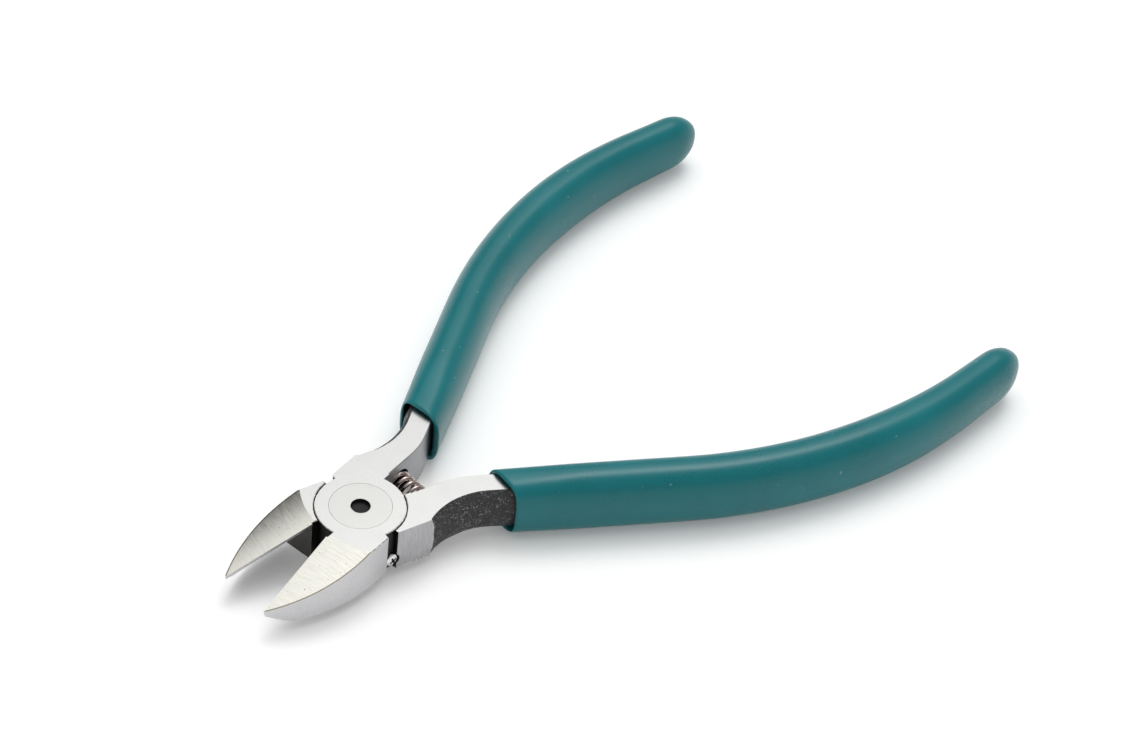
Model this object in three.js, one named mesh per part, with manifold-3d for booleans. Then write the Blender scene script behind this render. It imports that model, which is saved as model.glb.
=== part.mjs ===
// Spring-loaded side cutters with sleeve grips, 150 mm class.
// Millimetres, +Z up. The origin is on the pivot axis at the flat underside of the joint, and +X runs to the jaw tips.
// Each lever is drawn as it lies with the jaws shut, its cutting edge on the X axis, its jaw at +Y and its handle
// at -Y. The two lever groups then turn it open: one as drawn, the other mirrored in the XZ plane.
import * as THREE from "three";
import { mergeVertices } from "three/addons/utils/BufferGeometryUtils.js";
import Module from "manifold-3d";

const wasm = await Module();
wasm.setup();

// Joint
const jointThickness = 8.7;
const discRadius = 7.8;
const discClearance = 0.2;
const lapClearance = 0.1;
const headMargin = 0.4;
const openHalfAngle = 11.3;
const shoulderGapAngle = 7.2;

// Pivot rivet
const rivetHeadRadius = 5.4;
const rivetHeadThickness = 1.2;
const rivetShankRadius = 3.2;
const rivetClearance = 0.06;
const rivetRecessRadius = 1.7;
const rivetRecessDepth = 0.8;

// Jaws
const jawReach = 25.2;
const flankStart = 5.5;
const noseWidth = 0.35;
const pocketLength = 1.2;
const pocketRelief = 0.3;
const edgeClearance = 0.03;
const tipEdgeDrop = 5.25;
const rampLead = 0.5;
const rampCrest = 1.5;
const rampCrownRadius = 50;
const landHeight = 0.7;
const undercutAngle = 40;
const undercutSlant = 0.33;

// Necks
const neckInnerOffset = 1.15;
const waistWidth = 4.55;
const scoopRadius = 13;
const bendReach = 15.26;
const innerBendRadius = 15;
const neckStraight = 2.6;
const neckBulge = 1.5;
const blockBulge = 0.5;

// Handles: a straight run from the mouth of the sleeve, a long bow, and a straight end
const handleHeading = 21.4;
const handleStraight = 32.5;
const bowRadius = 94.6;
const bowTurn = 36;
const gripLength = 107.5;
const gripEndFill = 14;
const tangInnerHalf = 2.4;
const tangOuterHalf = 1.45;
const tangEndShare = 0.72;

// Sleeve grips: thin at the mouth, which slants back towards the outer side, and full further along
const gripMouthSlant = 0.5;
const gripMouthSideWall = 1.48;
const gripMouthTopWall = 1.4;
const gripMouthRoundness = 2.8;
const gripSideWall = 1.82;
const gripTopWall = 1.9;
const gripEndSideWall = 1.77;
const gripEndTopWall = 2.37;
const gripRoundness = 2.3;
const gripSwell = 16;
const gripTaper = 42;
const gripCap = 7;
const sleeveClearance = 0.3;

// Return spring
const springDiscGap = 1.9;
const springWire = 0.75;
const springOuterDiameter = 4.4;
const springTurns = 5.5;
const springPocketDepth = 2.0;
const springPocketClearance = 0.3;
const springSeatGap = 0.15;

// Stop screw
const screwHeadRadius = 1.25;
const screwHeadHeight = 1.0;
const screwRimHeight = 0.55;
const screwShankRadius = 0.75;
const screwShankLength = 2.0;
const screwSlotWidth = 0.4;
const screwSlotLength = 1.5;
const screwSlotDepth = 0.45;
const screwSeatDepth = 0.25;
const screwClearance = 0.1;
const stopGap = 0.05;

// How finely round things are divided
const discSides = 72;
const boreSides = 24;
const gripSides = 20;
const curveSteps = 32;
const crestSteps = 6;
const crestSpread = 70;
const neckSteps = 8;
const rampSteps = 12;
const bendSteps = 4;
const tangSteps = 16;
const gripSteps = 18;
const capSteps = 5;
const curlSteps = 8;
const wireSides = 5;
const overcut = 1;

const rad = THREE.MathUtils.degToRad;
const lerp = THREE.MathUtils.lerp;
const smooth = THREE.MathUtils.smoothstep;

// What follows from these
const midHeight = jointThickness / 2;
const headHalfWidth = discRadius + headMargin;
const shoulder = rad(90 - openHalfAngle - shoulderGapAngle);
const edgeStart = discRadius + discClearance + pocketLength;
const heading = rad(handleHeading);
const tangLength = gripLength - gripEndFill;
const tangWidth = tangInnerHalf + tangOuterHalf + neckBulge;
const springReach = discRadius + springDiscGap + springOuterDiameter / 2;

// Values at even steps from one end to the other, both ends among them.
function evenly(start, end, steps) {
  return Array.from({ length: steps + 1 }, (_, i) => lerp(start, end, i / steps));
}

// A closed geometry as a solid that can be joined and cut.
function solidOf(geometry) {
  const bare = geometry.clone();
  bare.deleteAttribute("normal");
  bare.deleteAttribute("uv");
  const merged = mergeVertices(bare, 1e-5);
  return new wasm.Manifold(
    new wasm.Mesh({
      numProp: 3,
      vertProperties: new Float32Array(merged.attributes.position.array),
      triVerts: new Uint32Array(merged.index.array),
    }),
  );
}

// A solid back as a geometry.
function geometryOf(solid) {
  const { vertProperties, triVerts } = solid.getMesh();
  const geometry = new THREE.BufferGeometry();
  geometry.setAttribute("position", new THREE.BufferAttribute(vertProperties, 3));
  geometry.setIndex(new THREE.BufferAttribute(triVerts, 1));
  geometry.computeVertexNormals();
  return geometry;
}

// A plan outline raised from one height to another.
function prism(outline, low, high) {
  const geometry = new THREE.ExtrudeGeometry(outline, {
    depth: high - low,
    bevelEnabled: false,
    curveSegments: curveSteps,
  });
  return geometry.translate(0, 0, low);
}

// A round bar on the Z axis.
function barAlongZ(radius, low, high, sides) {
  const bar = new THREE.CylinderGeometry(radius, radius, high - low, sides);
  return bar.rotateX(Math.PI / 2).translate(0, 0, (low + high) / 2);
}

// A round bar parallel to the Y axis.
function barAlongY(radius, x, z, low, high, sides) {
  const bar = new THREE.CylinderGeometry(radius, radius, high - low, sides);
  return bar.translate(x, (low + high) / 2, z);
}

// A box between two corners.
function block(low, high) {
  const size = high.clone().sub(low);
  const middle = low.clone().add(high).multiplyScalar(0.5);
  return new THREE.BoxGeometry(size.x, size.y, size.z).translate(middle.x, middle.y, middle.z);
}

// A skin over rings that have the same number of points, closed by a fan at each end.
// The rings run so that the walk round each one is anticlockwise seen from the far end.
function loft(rings) {
  const count = rings[0].length;
  const points = rings.flat();
  const index = [];
  for (let r = 0; r + 1 < rings.length; r++) {
    for (let k = 0; k < count; k++) {
      const a = r * count + k;
      const b = r * count + ((k + 1) % count);
      index.push(a, b, b + count, a, b + count, a + count);
    }
  }
  const first = points.length;
  points.push(middleOf(rings[0]), middleOf(rings.at(-1)));
  const start = (rings.length - 1) * count;
  for (let k = 0; k < count; k++) {
    const next = (k + 1) % count;
    index.push(first, next, k, first + 1, start + k, start + next);
  }
  const geometry = new THREE.BufferGeometry().setFromPoints(points);
  geometry.setIndex(index);
  return geometry;
}

function middleOf(ring) {
  const sum = ring.reduce((total, point) => total.add(point), new THREE.Vector3());
  return sum.divideScalar(ring.length);
}

// The lever groups, turned to the open pose that the stop screw holds.
const upperGroup = new THREE.Group();
upperGroup.rotation.z = rad(openHalfAngle);
const lowerGroup = new THREE.Group();
lowerGroup.rotation.z = -rad(openHalfAngle);
lowerGroup.scale.y = -1;

// A solid drawn in the frame of the whole part, carried into a lever's own frame.
function inLeverFrame(geometry, group) {
  group.updateMatrix();
  const local = geometry.clone().applyMatrix4(group.matrix.clone().invert());
  if (group.matrix.determinant() < 0) {
    const index = local.index.array;
    for (let i = 0; i < index.length; i += 3) {
      [index[i + 1], index[i + 2]] = [index[i + 2], index[i + 1]];
    }
  }
  return solidOf(local);
}

// Neck rails: the inner and outer edges of the ground top, each a straight, an arc and a straight at the heading.
const along = new THREE.Vector3(-Math.cos(heading), -Math.sin(heading), 0);
const outwards = new THREE.Vector3(Math.sin(heading), -Math.cos(heading), 0);
const onArc = (centre, radius, angle) =>
  new THREE.Vector3(centre.x - radius * Math.sin(angle), centre.y + radius * Math.cos(angle), 0);
const bendCentre = new THREE.Vector3(-bendReach, -(neckInnerOffset + innerBendRadius), 0);
const bendEnd = onArc(bendCentre, innerBendRadius, heading);

// The scoop is level at the waist and touches the line that the outer edge follows along the tang.
const outerLine = bendEnd.clone().addScaledVector(outwards, tangInnerHalf + tangOuterHalf);
const scoopY = -(neckInnerOffset + waistWidth + scoopRadius);
const scoopX = outerLine.x + (scoopRadius - (scoopY - outerLine.y) * outwards.y) / outwards.x;
const scoopCentre = new THREE.Vector3(scoopX, scoopY, 0);
const scoopEnd = onArc(scoopCentre, scoopRadius, heading);
const scoopAtBlock = -headHalfWidth - scoopY;
const blockEnd = scoopX + Math.sqrt(scoopRadius ** 2 - scoopAtBlock ** 2);

// The mouth of the sleeve lies a little beyond the end of the longer of the two arcs.
const mouthRun = Math.max(0, scoopEnd.clone().sub(bendEnd).dot(along)) + neckStraight;
const mouth = bendEnd.clone().addScaledVector(outwards, tangInnerHalf).addScaledVector(along, mouthRun);

// Handle path: the point and the outward normal at a distance from the mouth of the sleeve.
function handlePoint(distance) {
  const turnLength = bowRadius * rad(bowTurn);
  const turned = THREE.MathUtils.clamp((distance - handleStraight) / bowRadius, 0, rad(bowTurn));
  const before = Math.min(distance, handleStraight);
  const after = Math.max(0, distance - handleStraight - turnLength);
  const now = heading - turned;
  const x =
    mouth.x -
    before * Math.cos(heading) -
    bowRadius * (Math.sin(heading) - Math.sin(now)) -
    after * Math.cos(now);
  const y =
    mouth.y -
    before * Math.sin(heading) +
    bowRadius * (Math.cos(heading) - Math.cos(now)) -
    after * Math.sin(now);
  const outward = new THREE.Vector3(Math.sin(now), -Math.cos(now), 0);
  return { centre: new THREE.Vector3(x, y, 0), outward };
}

// One section of the neck or tang: a flat top and bottom, a rounded outer side and a nearly flat inner side.
function forgedRing(inner, outer, bulge, halfHeight, grow) {
  const across = outer.clone().sub(inner).normalize();
  const crest = evenly(-crestSpread, crestSpread, crestSteps).map((angle) => {
    const out = bulge * Math.cos(rad(angle));
    return [outer, out + grow, Math.sin(rad(angle)) * (halfHeight + grow)];
  });
  const corners = [
    [inner, -grow, halfHeight + grow],
    [inner, -grow, -(halfHeight + grow)],
    [outer, grow, -(halfHeight + grow)],
    ...crest,
    [outer, grow, halfHeight + grow],
  ];
  return corners.map(([rail, out, up]) => {
    const point = rail.clone().addScaledVector(across, out);
    return point.setZ(midHeight + up);
  });
}

function tangRing(distance, grow) {
  const { centre, outward } = handlePoint(distance);
  const share = lerp(1, tangEndShare, THREE.MathUtils.clamp(distance / tangLength, 0, 1));
  const inner = centre.clone().addScaledVector(outward, -tangInnerHalf * share);
  const outer = centre.clone().addScaledVector(outward, tangOuterHalf * share);
  return forgedRing(inner, outer, neckBulge * share, midHeight * share, grow);
}

function neckAndTang() {
  const start = -discRadius / 2;
  const straight = evenly(0, 1, neckSteps).map((share) => {
    const innerX = lerp(start, bendCentre.x, share);
    const outerX = lerp(start, scoopX, share);
    const inBlock = outerX > blockEnd;
    const outerY = inBlock ? -headHalfWidth : scoopY + Math.sqrt(scoopRadius ** 2 - (outerX - scoopX) ** 2);
    const swell = inBlock ? 0 : smooth(-outerX, -blockEnd, -scoopX);
    const inner = new THREE.Vector3(innerX, -neckInnerOffset, 0);
    const outer = new THREE.Vector3(outerX, outerY, 0);
    return forgedRing(inner, outer, lerp(blockBulge, neckBulge, swell), midHeight, 0);
  });
  const bend = evenly(0, heading, bendSteps)
    .slice(1)
    .map((angle) => {
      const inner = onArc(bendCentre, innerBendRadius, angle);
      const outer = onArc(scoopCentre, scoopRadius, angle);
      return forgedRing(inner, outer, neckBulge, midHeight, 0);
    });
  const tang = evenly(0, tangLength, tangSteps).map((distance) => tangRing(distance, 0));
  return solidOf(loft([...straight, ...bend, ...tang]));
}

// Plan of the jaw and of the block behind the joint; both reach into the disc.
function jawOutline() {
  const flankRadius =
    ((jawReach - flankStart) ** 2 + (headHalfWidth - noseWidth) ** 2) / (2 * (headHalfWidth - noseWidth));
  const flankTurn = Math.asin((jawReach - flankStart) / flankRadius);
  const outline = new THREE.Shape();
  outline.moveTo(pocketRelief / Math.tan(shoulder), pocketRelief);
  outline.lineTo(edgeStart, pocketRelief);
  outline.lineTo(edgeStart, edgeClearance);
  outline.lineTo(jawReach, edgeClearance);
  outline.lineTo(jawReach, noseWidth);
  const top = Math.PI / 2;
  outline.absarc(flankStart, headHalfWidth - flankRadius, flankRadius, top - flankTurn, top, false);
  outline.lineTo(headHalfWidth / Math.tan(shoulder), headHalfWidth);
  return outline;
}

function blockOutline() {
  const outline = new THREE.Shape();
  outline.moveTo(-neckInnerOffset / Math.tan(shoulder), -neckInnerOffset);
  outline.lineTo(-headHalfWidth / Math.tan(shoulder), -headHalfWidth);
  outline.lineTo(blockEnd, -headHalfWidth);
  outline.lineTo(blockEnd, -neckInnerOffset);
  return outline;
}

// The ground ramp on top of the jaw: what lies above a surface that falls to the tip and is crowned across the jaw.
function rampCut() {
  const start = edgeStart - rampLead;
  const crown = (y) => (y - rampCrest) ** 2 / (2 * rampCrownRadius);
  const slope = (tipEdgeDrop - crown(0)) / (jawReach - start);
  const height = (x, y) => jointThickness - slope * (x - start) - crown(y);
  const section = (x) => {
    const across = evenly(-overcut, headHalfWidth + overcut, rampSteps);
    const floor = across.map((y) => new THREE.Vector3(x, y, height(x, y)));
    const roof = [floor.at(-1), floor[0]].map((point) => point.clone().setZ(2 * jointThickness));
    return [...floor, ...roof];
  };
  return solidOf(loft([section(flankStart), section(jawReach + overcut)]));
}

// The undercut below the cutting edge: it leaves a narrow land and falls away outwards to the underside.
function undercut() {
  const drop = tipEdgeDrop / (jawReach - edgeStart);
  const spread = Math.tan(rad(undercutAngle));
  const section = (x, slant) => {
    const land = jointThickness - landHeight - drop * (x - edgeStart);
    const side = -overcut;
    const reach = (land + overcut) * spread;
    return [
      new THREE.Vector3(x + slant * side, side, land - side / spread),
      new THREE.Vector3(x + slant * side, side, -overcut),
      new THREE.Vector3(x + slant * reach, reach, -overcut),
    ];
  };
  return solidOf(loft([section(edgeStart, undercutSlant), section(jawReach + overcut, 0)]));
}

const lapHeight = { upper: midHeight + lapClearance / 2, lower: midHeight - lapClearance / 2 };

// A lever with its half disc in the upper or the lower half of the joint.
function lever(isUpper) {
  const discLow = isUpper ? lapHeight.upper : 0;
  const discHigh = isUpper ? jointThickness : lapHeight.lower;
  const hollowLow = isUpper ? -overcut : lapHeight.lower;
  const hollowHigh = isUpper ? lapHeight.upper : jointThickness + overcut;
  const headLow = isUpper ? jointThickness - rivetHeadThickness - rivetClearance : -overcut;
  const headHigh = isUpper ? jointThickness + overcut : rivetHeadThickness + rivetClearance;

  const jaw = solidOf(prism(jawOutline(), 0, jointThickness)).subtract(rampCut()).subtract(undercut());
  const sideGrind = block(
    new THREE.Vector3(scoopX, -headHalfWidth - 2 * neckBulge, -overcut),
    new THREE.Vector3(0, -headHalfWidth, jointThickness + overcut),
  );
  const handle = neckAndTang().subtract(solidOf(sideGrind));
  const body = jaw.add(handle).add(solidOf(prism(blockOutline(), 0, jointThickness)));
  const hollow = barAlongZ(discRadius + discClearance, hollowLow, hollowHigh, discSides);
  const disc = barAlongZ(discRadius, discLow, discHigh, discSides);
  const counterbore = barAlongZ(rivetHeadRadius + rivetClearance, headLow, headHigh, discSides);
  const bore = barAlongZ(rivetShankRadius + rivetClearance, -overcut, jointThickness + overcut, discSides);
  return body
    .subtract(solidOf(hollow))
    .add(solidOf(disc))
    .subtract(solidOf(counterbore))
    .subtract(solidOf(bore));
}

// Pivot rivet: two flush heads on one shank, with a blind centre recess in the upper head.
function pivotRivet() {
  const top = jointThickness;
  const profile = [
    [0, 0],
    [rivetHeadRadius, 0],
    [rivetHeadRadius, rivetHeadThickness],
    [rivetShankRadius, rivetHeadThickness],
    [rivetShankRadius, top - rivetHeadThickness],
    [rivetHeadRadius, top - rivetHeadThickness],
    [rivetHeadRadius, top],
    [rivetRecessRadius, top],
    [rivetRecessRadius, top - rivetRecessDepth],
    [0, top - rivetRecessDepth],
  ];
  const points = profile.map(([r, z]) => new THREE.Vector2(r, z));
  return new THREE.LatheGeometry(points, discSides).rotateX(Math.PI / 2);
}

// Where the spring pockets lie: on a line parallel to Y, from floor to floor.
const openInnerOffset =
  springReach * Math.tan(rad(openHalfAngle)) + neckInnerOffset / Math.cos(rad(openHalfAngle));
const pocketFloor = openInnerOffset + springPocketDepth;
const pocketRadius = springOuterDiameter / 2 + springPocketClearance;

// The pocket reaches out past the inner side of the neck to the middle of the tool.
function springPocket(side) {
  const low = side < 0 ? -pocketFloor : 0;
  const high = side < 0 ? 0 : pocketFloor;
  return barAlongY(pocketRadius, -springReach, midHeight, low, high, boreSides);
}

// Return spring: one wire wound on a helix, with a short straight end square to each pocket floor.
// The end comes off the helix in an elbow one wire long, most of it in its first half.
function springPath() {
  const radius = (springOuterDiameter - springWire) / 2;
  const half = pocketFloor - springSeatGap;
  const stub = springWire;
  const elbow = springWire;
  const knee = 0.8 * elbow;
  const wound = 2 * (half - stub - elbow);
  const steps = Math.round(springTurns * curlSteps);
  const at = (turn, y) =>
    new THREE.Vector3(
      -springReach + radius * Math.cos(2 * Math.PI * turn),
      y,
      midHeight + radius * Math.sin(2 * Math.PI * turn),
    );
  const lead = 1 / 12;
  const points = [at(-lead, -half), at(-lead, -half + stub), at(-lead / 2, -half + stub + knee)];
  for (let i = 0; i <= steps; i++) {
    points.push(at((springTurns * i) / steps, wound * (i / steps - 0.5)));
  }
  const last = springTurns + lead;
  points.push(at(springTurns + lead / 2, half - stub - knee), at(last, half - stub), at(last, half));
  return points;
}

// A tube of few sides along points; each ring lies square to the path there.
function tube(points, diameter, sides) {
  const rings = points.map((point, i) => {
    const before = points[Math.max(0, i - 1)];
    const after = points[Math.min(points.length - 1, i + 1)];
    const tangent = after.clone().sub(before).normalize();
    const outward = new THREE.Vector3(point.x + springReach, 0, point.z - midHeight).normalize();
    const side = new THREE.Vector3().crossVectors(tangent, outward).normalize();
    const up = new THREE.Vector3().crossVectors(side, tangent);
    return Array.from({ length: sides }, (_, k) => {
      const angle = (2 * Math.PI * k) / sides;
      return point
        .clone()
        .addScaledVector(up, (Math.cos(angle) * diameter) / 2)
        .addScaledVector(side, (Math.sin(angle) * diameter) / 2);
    });
  });
  return loft(rings);
}

// The least gap between turns, measured on points at least half a turn apart.
function leastGap(points, diameter) {
  let least = Infinity;
  points.forEach((a, i) => {
    points.slice(i + curlSteps / 2 + 1).forEach((b) => {
      least = Math.min(least, a.distanceTo(b) - diameter);
    });
  });
  return least;
}

// Stop screw: a pan head with a cross recess, in the gap beside the lower half disc, which it is screwed into.
const screwZ = lapHeight.lower / 2;
const screwSeat = discRadius - screwSeatDepth;
const screwTop = screwSeat + screwClearance + screwHeadHeight;
const stopLine = shoulder + rad(openHalfAngle);
const contactY = (screwSeat + screwTop) / 2;
const screwX = (contactY * Math.cos(stopLine) - screwHeadRadius - stopGap) / Math.sin(stopLine);

function stopScrew() {
  const crown = evenly(0, Math.PI / 2, 3).map((angle) => [
    screwHeadRadius * Math.cos(angle),
    lerp(screwRimHeight, screwHeadHeight, Math.sin(angle)),
  ]);
  crown.at(-1)[0] = 0;
  const profile = [
    [0, -screwShankLength],
    [screwShankRadius, -screwShankLength],
    [screwShankRadius, 0],
    [screwHeadRadius, 0],
    ...crown,
  ];
  const points = profile.map(([r, y]) => new THREE.Vector2(r, y));
  let solid = solidOf(new THREE.LatheGeometry(points, boreSides));
  for (const [width, length] of [
    [screwSlotWidth, screwSlotLength],
    [screwSlotLength, screwSlotWidth],
  ]) {
    const slot = new THREE.BoxGeometry(width, 2 * screwSlotDepth, length);
    solid = solid.subtract(solidOf(slot.translate(0, screwHeadHeight, 0)));
  }
  return geometryOf(solid).translate(screwX, screwSeat + screwClearance, screwZ);
}

// Room for the screw: a spot face and a hole in the half disc, and a scallop in the shoulder beside the head.
function screwRoom() {
  const outside = headHalfWidth + screwTop;
  const headRoom = screwHeadRadius + screwClearance;
  const shankRoom = screwShankRadius + screwClearance;
  const depth = screwShankLength + screwClearance;
  const head = barAlongY(headRoom, screwX, screwZ, screwSeat, outside, boreSides);
  const hole = barAlongY(shankRoom, screwX, screwZ, screwSeat - depth, outside, boreSides);
  return [head, hole];
}

// Sleeve grip: an oval sleeve over the tang, open at its slanted mouth and closed by a round end.
// Each point of a ring near the mouth lies further along the handle the further out it is.
function gripRing(distance) {
  const { centre, outward } = handlePoint(distance);
  const capStart = gripLength - gripCap;
  const intoCap = Math.max(0, distance - capStart) / gripCap;
  const round = Math.sqrt(Math.max(0, 1 - intoCap ** 2));
  const taper = smooth(distance, gripLength - gripTaper, gripLength);
  const swell = smooth(distance, 0, gripSwell);
  const bodyWidth = tangWidth + 2 * lerp(gripMouthSideWall, gripSideWall, swell);
  const bodyHeight = jointThickness + 2 * lerp(gripMouthTopWall, gripTopWall, swell);
  const endWidth = tangWidth * tangEndShare + 2 * gripEndSideWall;
  const endHeight = jointThickness * tangEndShare + 2 * gripEndTopWall;
  const width = lerp(bodyWidth, endWidth, taper) * round;
  const height = lerp(bodyHeight, endHeight, taper) * round;
  const power = 2 / lerp(gripMouthRoundness, gripRoundness, swell);
  const bent = (value) => Math.sign(value) * Math.abs(value) ** power;
  return Array.from({ length: gripSides }, (_, k) => {
    const angle = (2 * Math.PI * k) / gripSides;
    const across = (width / 2) * bent(Math.cos(angle));
    const point = centre.clone().addScaledVector(outward, across);
    point.addScaledVector(along, gripMouthSlant * across * (1 - swell));
    return point.setZ(midHeight + (height / 2) * bent(Math.sin(angle)));
  });
}

function sleeveGrip() {
  const capStart = gripLength - gripCap;
  const cap = evenly(0, Math.PI / 2, capSteps)
    .slice(1, -1)
    .map((angle) => capStart + gripCap * Math.sin(angle));
  const outer = solidOf(loft([...evenly(0, capStart, gripSteps), ...cap].map(gripRing)));
  const beforeMouth = overcut + gripMouthSlant * tangWidth;
  const depths = [-beforeMouth, ...evenly(0, tangLength + sleeveClearance, tangSteps)];
  const cavity = solidOf(loft(depths.map((distance) => tangRing(distance, sleeveClearance))));
  return geometryOf(outer.subtract(cavity));
}

const groundSteel = new THREE.MeshStandardMaterial({ color: 0xc9c8c2, roughness: 0.35, metalness: 1 });
const rivetSteel = new THREE.MeshStandardMaterial({ color: 0xcfcfca, roughness: 0.3, metalness: 1 });
const springSteel = new THREE.MeshStandardMaterial({ color: 0x8a6f62, roughness: 0.3, metalness: 1 });
const screwSteel = new THREE.MeshStandardMaterial({ color: 0xb9b9b6, roughness: 0.3, metalness: 1 });
const tealSleeve = new THREE.MeshStandardMaterial({ color: 0x00554f, roughness: 0.45, metalness: 0 });

function named(name, geometry, material) {
  const mesh = new THREE.Mesh(geometry, material);
  mesh.name = name;
  return mesh;
}

const upperLever = lever(true).subtract(inLeverFrame(springPocket(-1), upperGroup));
let lowerLever = lever(false).subtract(inLeverFrame(springPocket(1), lowerGroup));
screwRoom().forEach((room) => {
  lowerLever = lowerLever.subtract(inLeverFrame(room, lowerGroup));
});

upperGroup.add(named("upper_lever", geometryOf(upperLever), groundSteel));
upperGroup.add(named("upper_lever_grip", sleeveGrip(), tealSleeve));
lowerGroup.add(named("lower_lever", geometryOf(lowerLever), groundSteel));
lowerGroup.add(named("lower_lever_grip", sleeveGrip(), tealSleeve));

const springPoints = springPath();
console.log(`least gap between spring turns ${leastGap(springPoints, springWire).toFixed(2)} mm`);

const cutters = new THREE.Group();
cutters.add(upperGroup, lowerGroup);
cutters.add(named("pivot_rivet", pivotRivet(), rivetSteel));
cutters.add(named("return_spring", tube(springPoints, springWire, wireSides), springSteel));
cutters.add(named("stop_screw", stopScrew(), screwSteel));

export default cutters;
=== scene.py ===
"""Spring-loaded side cutters with sleeve grips, laid open on a white table.

Sizes are in millimetres, the scene is in metres. Each lever is worked out as it lies with the jaws
shut, its cutting edge on the X axis, its jaw at +Y and its handle at -Y, and is then turned open;
the other lever is its mirror image.
"""
import logging
import math
from dataclasses import dataclass, field
from enum import Enum, IntEnum
from typing import Any, Callable, Sequence

import bpy
import numpy as np
from mathutils import Matrix, Vector


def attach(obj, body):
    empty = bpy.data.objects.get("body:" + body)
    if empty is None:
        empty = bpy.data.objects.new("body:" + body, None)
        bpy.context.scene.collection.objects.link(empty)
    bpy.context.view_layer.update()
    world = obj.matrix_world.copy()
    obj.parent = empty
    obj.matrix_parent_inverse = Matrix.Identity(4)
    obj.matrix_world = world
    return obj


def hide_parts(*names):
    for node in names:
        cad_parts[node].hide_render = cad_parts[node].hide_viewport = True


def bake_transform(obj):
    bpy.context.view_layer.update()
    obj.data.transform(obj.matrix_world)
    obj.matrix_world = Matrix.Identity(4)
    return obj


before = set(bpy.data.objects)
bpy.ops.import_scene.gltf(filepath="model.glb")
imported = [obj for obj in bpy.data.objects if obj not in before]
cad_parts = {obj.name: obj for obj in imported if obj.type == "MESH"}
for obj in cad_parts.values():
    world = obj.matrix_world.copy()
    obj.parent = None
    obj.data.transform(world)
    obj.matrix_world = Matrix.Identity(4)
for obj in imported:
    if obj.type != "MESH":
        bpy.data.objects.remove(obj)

log = logging.getLogger("side_cutters")

MM = 0.001

# Points round a large circle, a bore and a small hole
ROUND_STEPS = 160
BORE_STEPS = 64
HOLE_STEPS = 48

# Angles in degrees beyond which an edge stays sharp
STEEL_CREASE = 12.0
SCREW_CREASE = 25.0
ROUND_CREASE = 60.0

# Factors and mask of the hash behind the lattice noise
HASH_X, HASH_Y, HASH_Z, HASH_SEED = 73856093, 19349663, 83492791, 2654435
HASH_MIX, HASH_FOLD, HASH_SHIFT = 2246822, 3266489, 7
HASH_MASK, HASH_HALF = 0xFFFFFF, 0x7FFFFF

Colour = tuple[float, float, float]
Array = np.ndarray


class Face(IntEnum):
    """The faces of a lever by how they were worked, or by the painted shade that they carry, in the order
    of its material slots.
    """

    GROUND = 0
    RAMP = 1
    FLANK = 2
    FORGED = 3
    INNER = 4
    # Walls in the gap between the levers, bores and pockets, painted near black as shade
    SHADED_RECESS = 5
    EDGE = 6
    # The undercut below the cutting edge, painted dark grey as shade between the jaws
    SHADED_UNDERCUT = 7
    SIDE = 8


class Join(Enum):
    """How a further solid is brought to a solid."""

    ADD = "UNION"
    CUT = "DIFFERENCE"


# Arithmetic on node sockets


class Wire:
    """An output socket that takes part in Python arithmetic."""

    def __init__(self, graph: "Graph", socket: bpy.types.NodeSocket) -> None:
        """Keeps the socket and the graph that it belongs to."""
        self.graph = graph
        self.socket = socket

    def _math(self, operation: str, first: Any, second: Any) -> "Wire":
        """Adds one Math node on two values or sockets."""
        return self.graph.add("ShaderNodeMath", {"operation": operation}, {0: first, 1: second})

    def __add__(self, other: Any) -> "Wire":
        """This plus the other."""
        return self._math("ADD", self, other)

    def __radd__(self, other: Any) -> "Wire":
        """The other plus this."""
        return self._math("ADD", other, self)

    def __sub__(self, other: Any) -> "Wire":
        """This less the other."""
        return self._math("SUBTRACT", self, other)

    def __rsub__(self, other: Any) -> "Wire":
        """The other less this."""
        return self._math("SUBTRACT", other, self)

    def __mul__(self, other: Any) -> "Wire":
        """This times the other."""
        return self._math("MULTIPLY", self, other)

    def __rmul__(self, other: Any) -> "Wire":
        """The other times this."""
        return self._math("MULTIPLY", other, self)


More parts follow.
